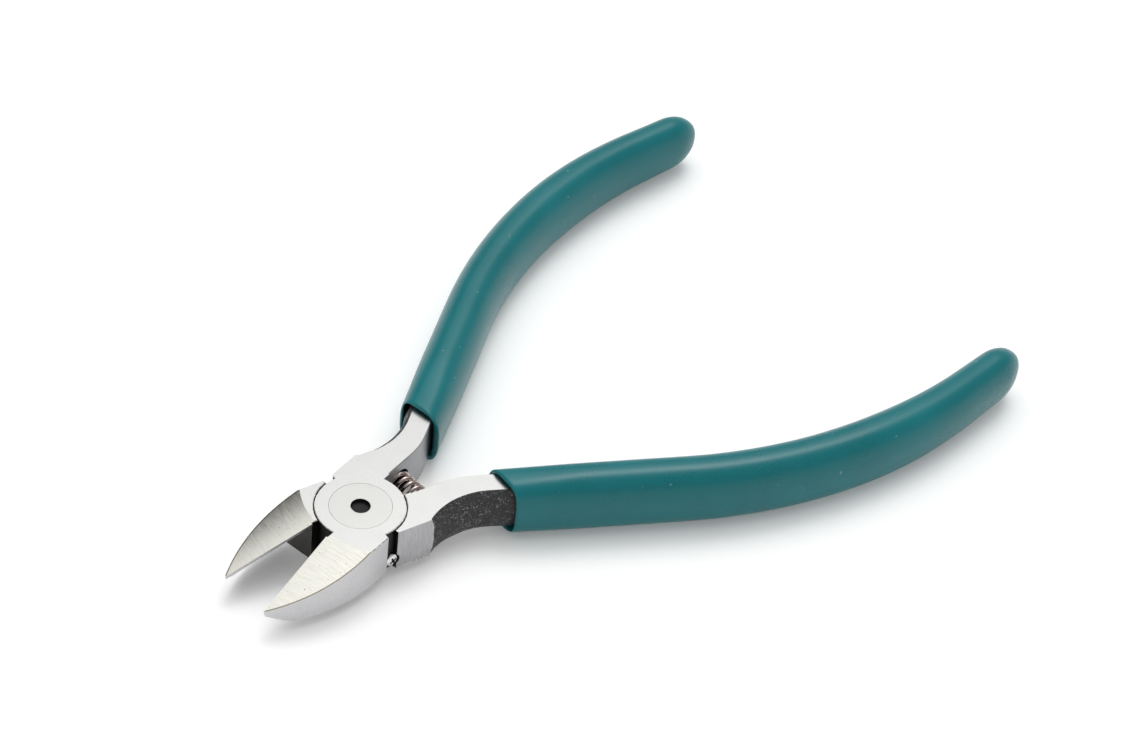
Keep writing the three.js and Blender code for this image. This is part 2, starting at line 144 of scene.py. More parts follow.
class Graph:
    """Adds nodes to one node tree."""

    def __init__(self, tree: bpy.types.NodeTree) -> None:
        """Empties the tree and keeps it."""
        tree.nodes.clear()
        self.tree = tree

    def add(
        self,
        kind: str,
        settings: dict[str, Any] | None = None,
        inputs: dict[str | int, Any] | None = None,
        output: str | int = 0,
    ) -> Wire:
        """Adds a node of any type.

        Args:
            kind: The node's type.
            settings: Its properties, set first.
            inputs: Values or sockets for its inputs, by name or number.
            output: The output that is handed back.

        Returns:
            That output.
        """
        node = self.tree.nodes.new(kind)
        for name, value in (settings or {}).items():
            setattr(node, name, value)
        for name, value in (inputs or {}).items():
            if isinstance(value, Wire):
                self.tree.links.new(value.socket, node.inputs[name])
            else:
                node.inputs[name].default_value = value
        return Wire(self, node.outputs[output])

    def close(self, kind: str, inputs: dict[str, Any]) -> None:
        """Adds the tree's output node, which has no output of its own.

        Args:
            kind: The node's type.
            inputs: Sockets for its inputs, by name.
        """
        node = self.tree.nodes.new(kind)
        for name, value in inputs.items():
            self.tree.links.new(value.socket, node.inputs[name])

    def place(self, scale: Sequence[float], turn: float = 0.0, offset: Sequence[float] = (0, 0, 0)) -> Wire:
        """Object coordinates, shifted, turned about Z and scaled to cells per millimetre.

        Args:
            scale: Cells per millimetre along X, Y and Z after the turn.
            turn: Turn about Z in degrees.
            offset: Shift in millimetres, so that two patterns differ.

        Returns:
            The coordinates.
        """
        here = self.add("ShaderNodeTexCoord", output="Object")
        turned = self.add(
            "ShaderNodeMapping",
            {"vector_type": "POINT"},
            {
                "Vector": here,
                "Location": tuple(value * MM for value in offset),
                "Rotation": (0.0, 0.0, math.radians(turn)),
            },
        )
        return self.add(
            "ShaderNodeVectorMath",
            {"operation": "MULTIPLY"},
            {0: turned, 1: tuple(value / MM for value in scale)},
        )

    def noise(self, where: Wire, detail: float = 2.0, roughness: float = 0.5) -> Wire:
        """Smooth noise about 0.5, one cell wide.

        Args:
            where: Coordinates in cells.
            detail: Number of finer octaves.
            roughness: How much of its strength each octave passes on.

        Returns:
            The noise.
        """
        return self.add(
            "ShaderNodeTexNoise",
            {"noise_dimensions": "3D"},
            {"Vector": where, "Scale": 1.0, "Detail": detail, "Roughness": roughness},
            "Fac",
        )

    def spread(self, value: Wire, low: float, high: float, to_low: float, to_high: float) -> Wire:
        """Carries a range of values smoothly onto another, held at its ends.

        Args:
            value: What is carried.
            low: Start of its range.
            high: End of its range.
            to_low: What the start becomes.
            to_high: What the end becomes.

        Returns:
            The carried value.
        """
        return self.add(
            "ShaderNodeMapRange",
            {"interpolation_type": "SMOOTHSTEP", "clamp": True},
            {"Value": value, 1: low, 2: high, 3: to_low, 4: to_high},
        )

    def mix(self, share: Any, first: Any, second: Any) -> Wire:
        """A colour between two.

        Args:
            share: How far it lies towards the second, from 0 to 1.
            first: A colour or a socket.
            second: A colour or a socket.

        Returns:
            The mixed colour.
        """
        opaque = [(*colour, 1.0) if isinstance(colour, tuple) else colour for colour in (first, second)]
        return self.add(
            "ShaderNodeMix",
            {"data_type": "RGBA", "blend_type": "MIX"},
            {0: share, 6: opaque[0], 7: opaque[1]},
            2,
        )

    def bump(self, height: Wire, depth: float) -> Wire:
        """A surface normal from a height, whose unit is worth so many millimetres."""
        return self.add("ShaderNodeBump", {}, {"Height": height, "Strength": 1.0, "Distance": depth * MM})


def new_material(name: str) -> tuple[bpy.types.Material, Graph]:
    """Starts a node material.

    Args:
        name: The material's name.

    Returns:
        The empty material and the graph to fill.
    """
    material = bpy.data.materials.new(name)
    material.use_nodes = True
    return material, Graph(material.node_tree)


# Finishes


@dataclass(frozen=True)
class WorkedSteel:
    """Steel that a wheel or belt has worked: streaks along one direction, a cloudy tone and a few pits."""

    name: str
    colour: Colour
    roughness: float
    grain: tuple[float, float, float]
    turn: float = 0.0
    streak: float = 0.08
    rub: float = 0.1
    depth: float = 0.002
    cloud: float = 0.05
    pits: float = 0.0
    pit_colour: Colour = (0.12, 0.11, 0.1)
    rim: tuple[float, float, float] | None = None
    rim_width: float = 0.3
    rim_colour: Colour = (0.16, 0.12, 0.07)
    rim_strength: float = 0.85

    def material(self) -> bpy.types.Material:
        """Builds the material.

        Returns:
            Steel whose colour, gloss and fine relief follow the streaks, with a dark rim inside a circle
            given by its centre and radius where a ground face ends.
        """
        material, graph = new_material(self.name)
        streaks = graph.noise(graph.place(self.grain, self.turn), 3.0, 0.65)
        clouds = graph.noise(graph.place((0.22, 0.22, 0.22), 0.0, (7, 3, 1)), 3.0)
        dark = tuple(channel * (1 - self.streak) for channel in self.colour)
        light = tuple(min(1.0, channel * (1 + self.streak)) for channel in self.colour)
        tone = graph.mix(graph.spread(streaks, 0.3, 0.7, 0.0, 1.0), dark, light)
        shade = tuple(channel * (1 - 2 * self.cloud) for channel in self.colour)
        tone = graph.mix(graph.spread(clouds, 0.5, 0.75, 0.0, 0.5), tone, shade)
        if self.pits:
            spots = graph.noise(graph.place((3.2, 3.2, 3.2), 0.0, (1, 9, 4)), 1.0)
            tone = graph.mix(graph.spread(spots, 0.71, 0.76, 0.0, self.pits), tone, self.pit_colour)
        if self.rim:
            tone = graph.mix(self._rim_share(graph), tone, self.rim_colour)
        gloss = graph.spread(streaks, 0.25, 0.75, self.roughness - self.rub, self.roughness + self.rub)
        surface = graph.add(
            "ShaderNodeBsdfPrincipled",
            {},
            {
                "Base Color": tone,
                "Metallic": 1.0,
                "Roughness": gloss,
                "Normal": graph.bump(streaks, self.depth),
            },
        )
        graph.close("ShaderNodeOutputMaterial", {"Surface": surface})
        return material

    def _rim_share(self, graph: Graph) -> Wire:
        """Works out how near a point is to the circle that bounds the face.

        Args:
            graph: The material's graph.

        Returns:
            The share of the rim's colour, from 0 inside the rim to its full strength at the circle.
        """
        x, y, radius = self.rim
        here = graph.add("ShaderNodeTexCoord", output="Object")
        level = graph.add("ShaderNodeVectorMath", {"operation": "MULTIPLY"}, {0: here, 1: (1.0, 1.0, 0.0)})
        away = graph.add(
            "ShaderNodeVectorMath", {"operation": "DISTANCE"}, {0: level, 1: (x * MM, y * MM, 0.0)}, "Value"
        )
        inner, outer = (radius - self.rim_width) * MM, (radius - self.rim_width / 2) * MM
        return graph.spread(away, inner, outer, 0.0, self.rim_strength)


@dataclass(frozen=True)
class ForgedSteel:
    """A dark forged skin, speckled where scale has broken away."""

    name: str
    colour: Colour
    fleck: Colour
    roughness: float

    def material(self) -> bpy.types.Material:
        """Builds the material.

        Returns:
            Dark rough steel with fine bright flecks and pits.
        """
        material, graph = new_material(self.name)
        grit = graph.noise(graph.place((2.6, 2.6, 2.6)), 4.0, 0.75)
        patches = graph.noise(graph.place((0.7, 0.7, 0.7), 0.0, (2, 5, 8)), 3.0)
        flecks = graph.spread(grit, 0.53, 0.66, 0.0, 1.0) * graph.spread(patches, 0.4, 0.62, 0.15, 1.0)
        surface = graph.add(
            "ShaderNodeBsdfPrincipled",
            {},
            {
                "Base Color": graph.mix(flecks, self.colour, self.fleck),
                "Metallic": 0.85,
                "Roughness": graph.spread(grit, 0.3, 0.7, self.roughness + 0.12, self.roughness - 0.08),
                "Normal": graph.bump(grit, 0.3),
            },
        )
        graph.close("ShaderNodeOutputMaterial", {"Surface": surface})
        return material


@dataclass(frozen=True)
class PlainSteel:
    """Steel with a soft mottle, for recesses, broken edges and small turned pieces; its dark colours in the
    gaps, the undercut and the screw's cross are painted shade.
    """

    name: str
    colour: Colour
    roughness: float
    mottle: float = 0.15
    metallic: float = 1.0

    def material(self) -> bpy.types.Material:
        """Builds the material.

        Returns:
            Steel with a fine mottle in colour and gloss.
        """
        material, graph = new_material(self.name)
        mottle = graph.noise(graph.place((2.4, 2.4, 2.4), 0.0, (4, 4, 2)), 3.0)
        dark = tuple(channel * (1 - self.mottle) for channel in self.colour)
        light = tuple(min(1.0, channel * (1 + self.mottle)) for channel in self.colour)
        surface = graph.add(
            "ShaderNodeBsdfPrincipled",
            {},
            {
                "Base Color": graph.mix(graph.spread(mottle, 0.3, 0.7, 0.0, 1.0), dark, light),
                "Metallic": self.metallic,
                "Roughness": graph.spread(mottle, 0.3, 0.7, self.roughness - 0.06, self.roughness + 0.06),
            },
        )
        graph.close("ShaderNodeOutputMaterial", {"Surface": surface})
        return material


@dataclass(frozen=True)
class SleeveVinyl:
    """Semi-gloss dipped vinyl with a faint orange peel, rubbed patches and a few pale specks of dust."""

    name: str
    colour: Colour
    worn: Colour
    dust: Colour
    roughness: float

    def material(self) -> bpy.types.Material:
        """Builds the material.

        Returns:
            Vinyl whose tone and gloss drift slowly, with fine relief and sparse specks.
        """
        material, graph = new_material(self.name)
        drift = graph.noise(graph.place((0.06, 0.06, 0.06), 0.0, (3, 8, 5)), 3.0)
        peel = graph.noise(graph.place((1.6, 1.6, 1.6)), 2.0)
        fine = graph.noise(graph.place((7.0, 7.0, 7.0), 0.0, (5, 1, 2)), 2.0)
        specks = graph.noise(graph.place((1.3, 1.3, 1.3), 0.0, (9, 2, 6)), 0.0)
        tone = graph.mix(graph.spread(drift, 0.35, 0.7, 0.0, 0.6), self.colour, self.worn)
        tone = graph.mix(graph.spread(specks, 0.85, 0.88, 0.0, 0.25), tone, self.dust)
        scratches = graph.noise(graph.place((0.6, 2.8, 2.8), 20.0, (2, 4, 9)), 3.0, 0.7)
        handled = graph.noise(graph.place((0.09, 0.09, 0.09), 0.0, (6, 1, 3)), 1.0)
        marks = graph.spread(scratches, 0.66, 0.73, 0.0, 1.0) * graph.spread(handled, 0.52, 0.64, 0.0, 0.22)
        tone = graph.mix(marks, tone, self.dust)
        gloss = graph.spread(drift, 0.3, 0.7, self.roughness - 0.03, self.roughness + 0.05)
        surface = graph.add(
            "ShaderNodeBsdfPrincipled",
            {},
            {
                "Base Color": tone,
                "Roughness": gloss + (fine - 0.5) * 0.12,
                "Specular IOR Level": 0.35,
                "Normal": graph.bump(peel + fine * 0.35, 0.012),
            },
        )
        graph.close("ShaderNodeOutputMaterial", {"Surface": surface})
        return material


# Surfaces


@dataclass
class Surface:
    """A closed skin in millimetres: points, faces as rows of point numbers, and a finish for each face."""

    points: Array
    faces: list[list[int]]
    finishes: Array

    def outward(self) -> "Surface":
        """Turns the faces outwards, by the sign of the volume of fans from the origin.

        Returns:
            The skin itself.
        """
        first = np.array([row[0] for row in self.faces for _ in row[2:]])
        second = np.array([point for row in self.faces for point in row[1:-1]])
        third = np.array([point for row in self.faces for point in row[2:]])
        a, b, c = self.points[first], self.points[second], self.points[third]
        if np.einsum("ij,ij->", a, np.cross(b, c)) < 0:
            self.faces = [row[::-1] for row in self.faces]
        return self

    def object(self, name: str, materials: Sequence[bpy.types.Material], unit: float) -> bpy.types.Object:
        """The skin as an object in the scene.

        Args:
            name: The object's name.
            materials: Its material slots.
            unit: Metres to a millimetre of the skin, or 1 for a working copy.

        Returns:
            The object, at the origin.
        """
        mesh = bpy.data.meshes.new(name)
        mesh.from_pydata((self.points * unit).tolist(), [], self.faces)
        for material in materials:
            mesh.materials.append(material)
        mesh.polygons.foreach_set("material_index", self.finishes.astype(np.int32))
        mesh.update()
        made = bpy.data.objects.new(name, mesh)
        bpy.context.scene.collection.objects.link(made)
        return made


def skin(rings: Array, sides: Any, start: int = 0, end: int = 0) -> Surface:
    """A skin over rings: face (r, k) joins points k and k + 1 of ring r to those of ring r + 1.

    Args:
        rings: Points as an array of rings, points of a ring, and x, y, z.
        sides: Finishes that broadcast to (rings - 1, points of a ring).
        start: Finish of the flat cap on the first ring.
        end: Finish of the flat cap on the last ring.

    Returns:
        The closed skin.
    """
    count, around, _ = rings.shape
    row, column = np.meshgrid(np.arange(count - 1), np.arange(around), indexing="ij")
    beside = (column + 1) % around
    low, high = row * around, (row + 1) * around
    quads = np.stack([low + column, low + beside, high + beside, high + column], axis=-1)
    caps = [list(range(around))[::-1], list(range((count - 1) * around, count * around))]
    finishes = np.broadcast_to(np.asarray(sides), (count - 1, around)).ravel()
    faces = quads.reshape(-1, 4).tolist() + caps
    return Surface(rings.reshape(-1, 3), faces, np.append(finishes, [start, end])).outward()


@dataclass
class Outline:
    """A closed plan outline drawn by straight runs and arcs, with a finish for the wall under each run."""

    points: list[tuple[float, float]] = field(default_factory=list)
    walls: list[int] = field(default_factory=list)

    def start(self, x: float, y: float) -> "Outline":
        """Puts the pen down."""
        self.points.append((x, y))
        return self

    def line(self, x: float, y: float, wall: int) -> "Outline":
        """A straight run to a point."""
        self.points.append((x, y))
        self.walls.append(wall)
        return self

    def arc(
        self, centre: tuple[float, float], radius: float, end: float, steps: int, wall: int
    ) -> "Outline":
        """An arc from the pen's place round a centre.

        Args:
            centre: The centre.
            radius: The radius.
            end: The angle in radians at which it ends.
            steps: Number of straight runs that stand for it.
            wall: Finish of the wall under it.

        Returns:
            The outline itself.
        """
        begin = math.atan2(self.points[-1][1] - centre[1], self.points[-1][0] - centre[0])
        angles = np.linspace(begin, end, steps + 1)[1:]
        xs, ys = centre[0] + radius * np.cos(angles), centre[1] + radius * np.sin(angles)
        self.points.extend(zip(xs.tolist(), ys.tolist()))
        self.walls.extend([wall] * steps)
        return self

    def close(self, wall: int) -> "Outline":
        """A straight run back to the start."""
        self.walls.append(wall)
        return self

    def inset(self, depth: float) -> Array:
        """Moves the outline inwards: each corner slides along the mitre of its two edges' normals.

        Args:
            depth: How far the edges move.

        Returns:
            The moved points.
        """
        here = np.array(self.points)
        edge = np.roll(here, -1, axis=0) - here
        edge /= np.linalg.norm(edge, axis=1, keepdims=True)
        inward = np.stack([-edge[:, 1], edge[:, 0]], axis=1)
        before = np.roll(inward, 1, axis=0)
        reach = 1 + np.sum(inward * before, axis=1, keepdims=True)
        return here + depth * (inward + before) / reach

    def prism(
        self, low: float, high: float, low_break: float, high_break: float, cap: int = Face.GROUND
    ) -> Surface:
        """The outline raised between two heights, with its edges broken at 45 degrees.

        Args:
            low: Height of the underside.
            high: Height of the top.
            low_break: Width of the broken edge below, or 0.
            high_break: Width of the broken edge above, or 0.
            cap: Finish of the two flat faces.

        Returns:
            The closed prism.
        """
        levels = [(low, low_break), (low + low_break, 0.0), (high - high_break, 0.0), (high, high_break)]
        levels = [level for i, level in enumerate(levels) if i == 0 or level[0] > levels[i - 1][0]]
        rings = [np.column_stack([self.inset(depth), np.full(len(self.points), z)]) for z, depth in levels]
        broken = [a[1] != b[1] for a, b in zip(levels, levels[1:])]
        sides = [[Face.EDGE] * len(self.walls) if edge else self.walls for edge in broken]
        return skin(np.array(rings), np.array(sides), cap, cap)


def disc(radius: float, low: float, high: float, wall: int, cap: int, steps: int = 128) -> Surface:
    """A round bar on the Z axis with plain ends."""
    return lathe([(radius, low), (radius, high)], [wall], (cap, cap), steps)


def lathe(
    profile: Sequence[tuple[float, float]], walls: Sequence[int], caps: tuple[int, int], steps: int
) -> Surface:
    """Carries a profile round the Z axis, with a flat disc at each end.

    Args:
        profile: Radius and height of each of its points.
        walls: Finish of the band between each two points.
        caps: Finishes of the first and the last disc.
        steps: Points round the axis.

    Returns:
        The closed skin.
    """
    angles = np.linspace(0, 2 * math.pi, steps, endpoint=False)
    radius, height = np.array(profile).T
    x, y = np.outer(radius, np.cos(angles)), np.outer(radius, np.sin(angles))
    rings = np.stack([x, y, np.outer(height, np.ones(steps))], axis=-1)
    return skin(rings, np.array(walls)[:, None], *caps)


def value_noise(points: Array, cell: float, seed: int) -> Array:
    """Smooth noise: hashed values on the corners of a cubic lattice, eased between by a smoothstep.

    Args:
        points: Where it is wanted.
        cell: Side of a cube of the lattice.
        seed: A number that tells one noise from another.

    Returns:
        Values from -1 to 1.
    """
    scaled = points / cell
    corner = np.floor(scaled).astype(np.int64)
    part = scaled - corner
    ease = part * part * (3 - 2 * part)
    total = np.zeros(len(points))
    for offset in np.ndindex(2, 2, 2):
        x, y, z = (corner + np.array(offset)).T
        mixed = (x * HASH_X ^ y * HASH_Y ^ z * HASH_Z ^ seed * HASH_SEED) & HASH_MASK
        mixed = (mixed * HASH_MIX + (mixed >> HASH_SHIFT) * HASH_FOLD) & HASH_MASK
        weight = np.prod(np.where(np.array(offset) == 1, ease, 1 - ease), axis=1)
        total += weight * (mixed / HASH_HALF - 1)
    return total


def smoothstep(value: Array, low: float, high: float) -> Array:
    """The usual cubic ease from 0 at low to 1 at high."""
    share = np.clip((value - low) / (high - low), 0, 1)
    return share * share * (3 - 2 * share)


def turned(points: Array, angle: float) -> Array:
    """Turns points about Z.

    Args:
        points: The points.
        angle: The angle in radians.

    Returns:
        The turned points.
    """
    x, y, z = points.T
    along, across = math.cos(angle), math.sin(angle)
    return np.column_stack([x * along - y * across, x * across + y * along, z])


def worked(
    name: str,
    base: Surface,
    steps: Sequence[tuple[Join, Surface]],
    materials: Sequence[bpy.types.Material],
) -> bpy.types.Mesh:
    """Joins and cuts solids in order; every face keeps the finish of the solid that it came from.

    Args:
        name: Name of the mesh.
        base: The first solid.
        steps: The further solids and how each is brought to it.
        materials: The material slots that the finishes number.

    Returns:
        The mesh, still in millimetres.
    """
    body = base.object(name, materials, 1.0)
    tools = []
    for join, solid in steps:
        tool = solid.object(f"{name}_tool", materials, 1.0)
        tool.hide_render = True
        tools.append(tool)
        modifier = body.modifiers.new(join.name, "BOOLEAN")
        modifier.operation = join.value
        modifier.object = tool
        modifier.solver = "EXACT"
        modifier.material_mode = "INDEX"
    graph = bpy.context.evaluated_depsgraph_get()
    mesh = bpy.data.meshes.new_from_object(body.evaluated_get(graph))
    for made in [body, *tools]:
        data = made.data
        bpy.data.objects.remove(made)
        bpy.data.meshes.remove(data)
    mesh.name = name
    return mesh


def soften(mesh: bpy.types.Mesh, crease: float, rough: int | None = None) -> None:
    """Shades a mesh smooth between its creases.

    Args:
        mesh: The mesh.
        crease: Angle in degrees beyond which an edge stays sharp.
        rough: A finish inside which no edge stays sharp, or None.
    """
    mesh.polygons.foreach_set("use_smooth", np.ones(len(mesh.polygons), bool))
    mesh.set_sharp_from_angle(angle=math.radians(crease))
    if rough is None:
        return
    loops = np.zeros(len(mesh.loops), np.int32)
    totals = np.zeros(len(mesh.polygons), np.int32)
    slots = np.zeros(len(mesh.polygons), np.int32)
    mesh.loops.foreach_get("edge_index", loops)
    mesh.polygons.foreach_get("loop_total", totals)
    mesh.polygons.foreach_get("material_index", slots)
    rough_sides = np.bincount(loops[np.repeat(slots == rough, totals)], minlength=len(mesh.edges))
    sharp = np.zeros(len(mesh.edges), bool)
    mesh.edges.foreach_get("use_edge_sharp", sharp)
    mesh.edges.foreach_set("use_edge_sharp", sharp & (rough_sides < 2))


def placed(mesh: bpy.types.Mesh, move: Callable[[Array], Array], mirrored: bool) -> bpy.types.Object:
    """Puts a finished mesh of millimetres in its place and into the scene.

    Args:
        mesh: The mesh.
        move: What carries its points, in millimetres, to where they lie.
        mirrored: Whether that turns it inside out.

    Returns:
        The new object, at the origin.
    """
    points = np.zeros(len(mesh.vertices) * 3)
    mesh.vertices.foreach_get("co", points)
    mesh.vertices.foreach_set("co", (move(points.reshape(-1, 3)) * MM).ravel())
    if mirrored:
        mesh.flip_normals()
    mesh.update()
    made = bpy.data.objects.new(mesh.name, mesh)
    bpy.context.scene.collection.objects.link(made)
    return made


# The levers


@dataclass(frozen=True)
class Half:
    """One half of the tool: which level of the joint its disc fills, and how it lies open."""

    body: str
    lever: str
    grip: str
    is_upper: bool
    open_angle: float = 11.3

    @property
    def side(self) -> float:
        """1 for the half that lies as drawn, -1 for its mirror image."""
        return 1.0 if self.is_upper else -1.0

    def open(self, points: Array) -> Array:
        """Carries points from the shut drawing to the open tool.

        Args:
            points: Points of the drawing.

        Returns:
            The points, mirrored in Y for one half and then turned about Z.
        """
        mirrored = points * np.array([1.0, self.side, 1.0])
        return turned(mirrored, self.side * math.radians(self.open_angle))

    def shut(self, points: Array) -> Array:
        """Carries points of the open tool back to the shut drawing.

        Args:
            points: Points of the open tool.

        Returns:
            The points as they are drawn.
        """
        back = turned(points, -self.side * math.radians(self.open_angle))
        return back * np.array([1.0, self.side, 1.0])


@dataclass
class Joint:
    """The lap joint that both levers share."""

    thickness: float = 8.7
    disc_radius: float = 7.8
    hollow_radius: float = 8.0
    lap_gap: float = 0.1
    head_half_width: float = 8.2
    shoulder: float = math.radians(71.5)
    edge_break: float = 0.13
    rivet_radius: float = 5.4
    rivet_head: float = 1.2
    rivet_shank: float = 3.2
    rivet_gap: float = 0.02
    overcut: float = 1.0

    @property
    def middle(self) -> float:
        """Height of the middle of the joint."""
        return self.thickness / 2


@dataclass
class Handle:
    """The neck rails and the path of the tang and sleeve, from the joint to the end of the handle."""

    inner_offset: float = 1.15
    waist: float = 4.55
    scoop_radius: float = 13.0
    bend_reach: float = 15.26
    bend_radius: float = 15.0
    heading: float = math.radians(21.4)
    neck_straight: float = 2.6
    tang_inner: float = 2.4
    tang_outer: float = 1.45
    bulge: float = 1.5
    block_bulge: float = 0.5
    straight: float = 32.5
    bow_radius: float = 94.6
    bow_turn: float = math.radians(36)

    def __post_init__(self) -> None:
        """Works out the bend, the scoop that touches the tang's outer line, and the mouth of the sleeve."""
        self.along = np.array([-math.cos(self.heading), -math.sin(self.heading)])
        self.outwards = np.array([math.sin(self.heading), -math.cos(self.heading)])
        self.bend_centre = np.array([-self.bend_reach, -(self.inner_offset + self.bend_radius)])
        bend_end = self.on_arc(self.bend_centre, self.bend_radius, self.heading)
        outer_line = bend_end + self.outwards * (self.tang_inner + self.tang_outer)
        scoop_y = -(self.inner_offset + self.waist + self.scoop_radius)
        rise = (scoop_y - outer_line[1]) * self.outwards[1]
        scoop_x = outer_line[0] + (self.scoop_radius - rise) / self.outwards[0]
        self.scoop_centre = np.array([scoop_x, scoop_y])
        scoop_end = self.on_arc(self.scoop_centre, self.scoop_radius, self.heading)
        run = max(0.0, float((scoop_end - bend_end) @ self.along)) + self.neck_straight
        self.mouth = bend_end + self.outwards * self.tang_inner + self.along * run

    @staticmethod
    def on_arc(centre: Array, radius: float, angle: Any) -> Array:
        """Points on an arc that starts level above its centre and turns towards -X.

        Args:
            centre: The centre.
            radius: The radius.
            angle: Angles turned, in radians.

        Returns:
            The points.
        """
        angle = np.asarray(angle)
        return np.stack([centre[0] - radius * np.sin(angle), centre[1] + radius * np.cos(angle)], axis=-1)

    def block_end(self, half_width: float) -> float:
        """Where the scoop leaves the side of the block."""
        rise = -half_width - self.scoop_centre[1]
        return self.scoop_centre[0] + math.sqrt(self.scoop_radius**2 - rise**2)

    def path(self, distance: Array) -> tuple[Array, Array]:
        """Follows the handle: a straight run, an arc and a straight end.

        Args:
            distance: Distances from the mouth of the sleeve.

        Returns:
            The centres and the outward normals there.
        """
        turned = np.clip((distance - self.straight) / self.bow_radius, 0, self.bow_turn)
        before = np.minimum(distance, self.straight)
        after = np.maximum(0, distance - self.straight - self.bow_radius * self.bow_turn)
        now = self.heading - turned
        bow_x = self.bow_radius * (math.sin(self.heading) - np.sin(now))
        bow_y = self.bow_radius * (math.cos(self.heading) - np.cos(now))
        x = self.mouth[0] - before * math.cos(self.heading) - bow_x - after * np.cos(now)
        y = self.mouth[1] - before * math.sin(self.heading) + bow_y - after * np.sin(now)
        return np.stack([x, y], axis=-1), np.stack([np.sin(now), -np.cos(now)], axis=-1)


@dataclass
class Lever:
    """One forged lever: jaw, half disc, block, neck and the start of the tang."""

    half: Half
    joint: Joint
    handle: Handle
    reach: float = 25.2
    flank_start: float = 5.5
    nose: float = 0.35
    pocket_length: float = 1.2
    pocket_relief: float = 0.3
    edge_gap: float = 0.03
    tip_drop: float = 5.25
    ramp_lead: float = 0.5
    ramp_crest: float = 1.5
    ramp_crown: float = 50.0
    land: float = 0.7
    undercut_spread: float = math.tan(math.radians(40))
    undercut_slant: float = 0.33
    tang_shown: float = 9.0
    forged_relief: float = 0.12
    forged_inset: float = 0.02
    # Cell in millimetres, share and seed of each octave of the forged relief
    relief_octaves: tuple[tuple[float, float, int], ...] = (
        (1.6, 0.5, 11),
        (0.6, 0.5, 23),
        (0.28, 0.45, 37),
    )
    rail_steps: int = 80
    bend_steps: int = 30
    tang_steps: int = 40
    bulge_steps: int = 45
    flat_steps: int = 6
    flank_steps: int = 40
    ramp_steps: int = 40
    spring_reach: float = 11.9
    spring_pocket: float = 2.5
    spring_floor: float = 5.55

    @property
    def edge_start(self) -> float:
        """Where the cutting edge begins, past the relief beside the joint."""
        return self.joint.hollow_radius + self.pocket_length

    @property
    def flank_circle(self) -> tuple[float, float, float]:
        """Centre and radius of the flank, which is level at its start and ends at the nose."""
        fall = self.joint.head_half_width - self.nose
        radius = ((self.reach - self.flank_start) ** 2 + fall**2) / (2 * fall)
        return self.flank_start, self.joint.head_half_width - radius, radius

    def jaw(self) -> Surface:
        """Draws the jaw in plan and raises it through the whole thickness.

        Returns:
            The jaw, with its relief, cutting edge, nose and arched flank.
        """
        x, y, radius = self.flank_circle
        width, lean = self.joint.head_half_width, math.tan(self.joint.shoulder)
        plan = Outline().start(self.pocket_relief / lean, self.pocket_relief)
        # The relief walls and the shoulder get the recess finish, painted near black for the shade in the
        # gap between the levers
        plan.line(self.edge_start, self.pocket_relief, Face.SHADED_RECESS)
        plan.line(self.edge_start, self.edge_gap, Face.SHADED_RECESS)
        plan.line(self.reach, self.edge_gap, Face.FLANK)
        plan.line(self.reach, self.nose, Face.FLANK)
        plan.arc((x, y), radius, math.pi / 2, self.flank_steps, Face.FLANK)
        plan.line(width / lean, width, Face.FLANK)
        plan.close(Face.SHADED_RECESS)
        return plan.prism(0, self.joint.thickness, self.joint.edge_break, self.joint.edge_break)

    def block(self) -> Surface:
        """Draws the block behind the joint in plan and raises it.

        Returns:
            The block, between its shoulder and the neck.
        """
        width, lean = self.joint.head_half_width, math.tan(self.joint.shoulder)
        end = self.handle.block_end(width)
        inner = self.handle.inner_offset
        plan = Outline().start(-inner / lean, -inner)
        plan.line(end, -inner, Face.INNER)
        plan.line(end, -width, Face.FLANK)
        plan.line(-width / lean, -width, Face.SIDE)
        # The shoulder gets the recess finish, painted near black for the shade in the gap beside the joint
        plan.close(Face.SHADED_RECESS)
        plan.points.reverse()
        plan.walls = plan.walls[-2::-1] + plan.walls[-1:]
        return plan.prism(0, self.joint.thickness, self.joint.edge_break, self.joint.edge_break)

    def rails(self) -> tuple[Array, Array, Array]:
        """Works out the neck in plan, from the block to inside the sleeve.

        Returns:
            Its inner rail, its outer rail and the bulge of its forged side along them.
        """
        handle, width = self.handle, self.joint.head_half_width
        start, end = -self.joint.disc_radius / 2, handle.block_end(width)
        share = np.linspace(0, 1, self.rail_steps)
        inner_x = start + (handle.bend_centre[0] - start) * share
        outer_x = start + (handle.scoop_centre[0] - start) * share
        rise = np.sqrt(np.maximum(0, handle.scoop_radius**2 - (outer_x - handle.scoop_centre[0]) ** 2))
        outer_y = np.where(outer_x > end, -width, handle.scoop_centre[1] + rise)
        swell = smoothstep(-outer_x, -end, -handle.scoop_centre[0])
        turn = np.linspace(0, handle.heading, self.bend_steps)[1:]
        centre, outward = handle.path(np.linspace(0, self.tang_shown, self.tang_steps))
        inner = np.concatenate([
            np.column_stack([inner_x, np.full(len(share), -handle.inner_offset)]),
            handle.on_arc(handle.bend_centre, handle.bend_radius, turn),
            centre - outward * handle.tang_inner,
        ])
        outer = np.concatenate([
            np.column_stack([outer_x, outer_y]),
            handle.on_arc(handle.scoop_centre, handle.scoop_radius, turn),
            centre + outward * handle.tang_outer,
        ])
        bulge = np.full(len(inner), handle.bulge)
        bulge[: len(share)] = handle.block_bulge + (handle.bulge - handle.block_bulge) * swell
        return inner, outer, bulge

    def neck(self) -> Surface:
        """Stands rings along the rails: flat above, below and inside, half an ellipse outside.

        The forged side is roughened by octaves of noise that fade out at its upper and lower edges.

        Returns:
            The neck.
        """
        inner, outer, bulge = self.rails()
        across = outer - inner
        across /= np.linalg.norm(across, axis=1, keepdims=True)
        middle, chip = self.joint.middle, self.joint.edge_break
        level, curved = self.flat_steps, self.bulge_steps
        angle = np.linspace(math.pi / 2, -math.pi / 2, curved)
        flat = np.linspace(0, 1, level)
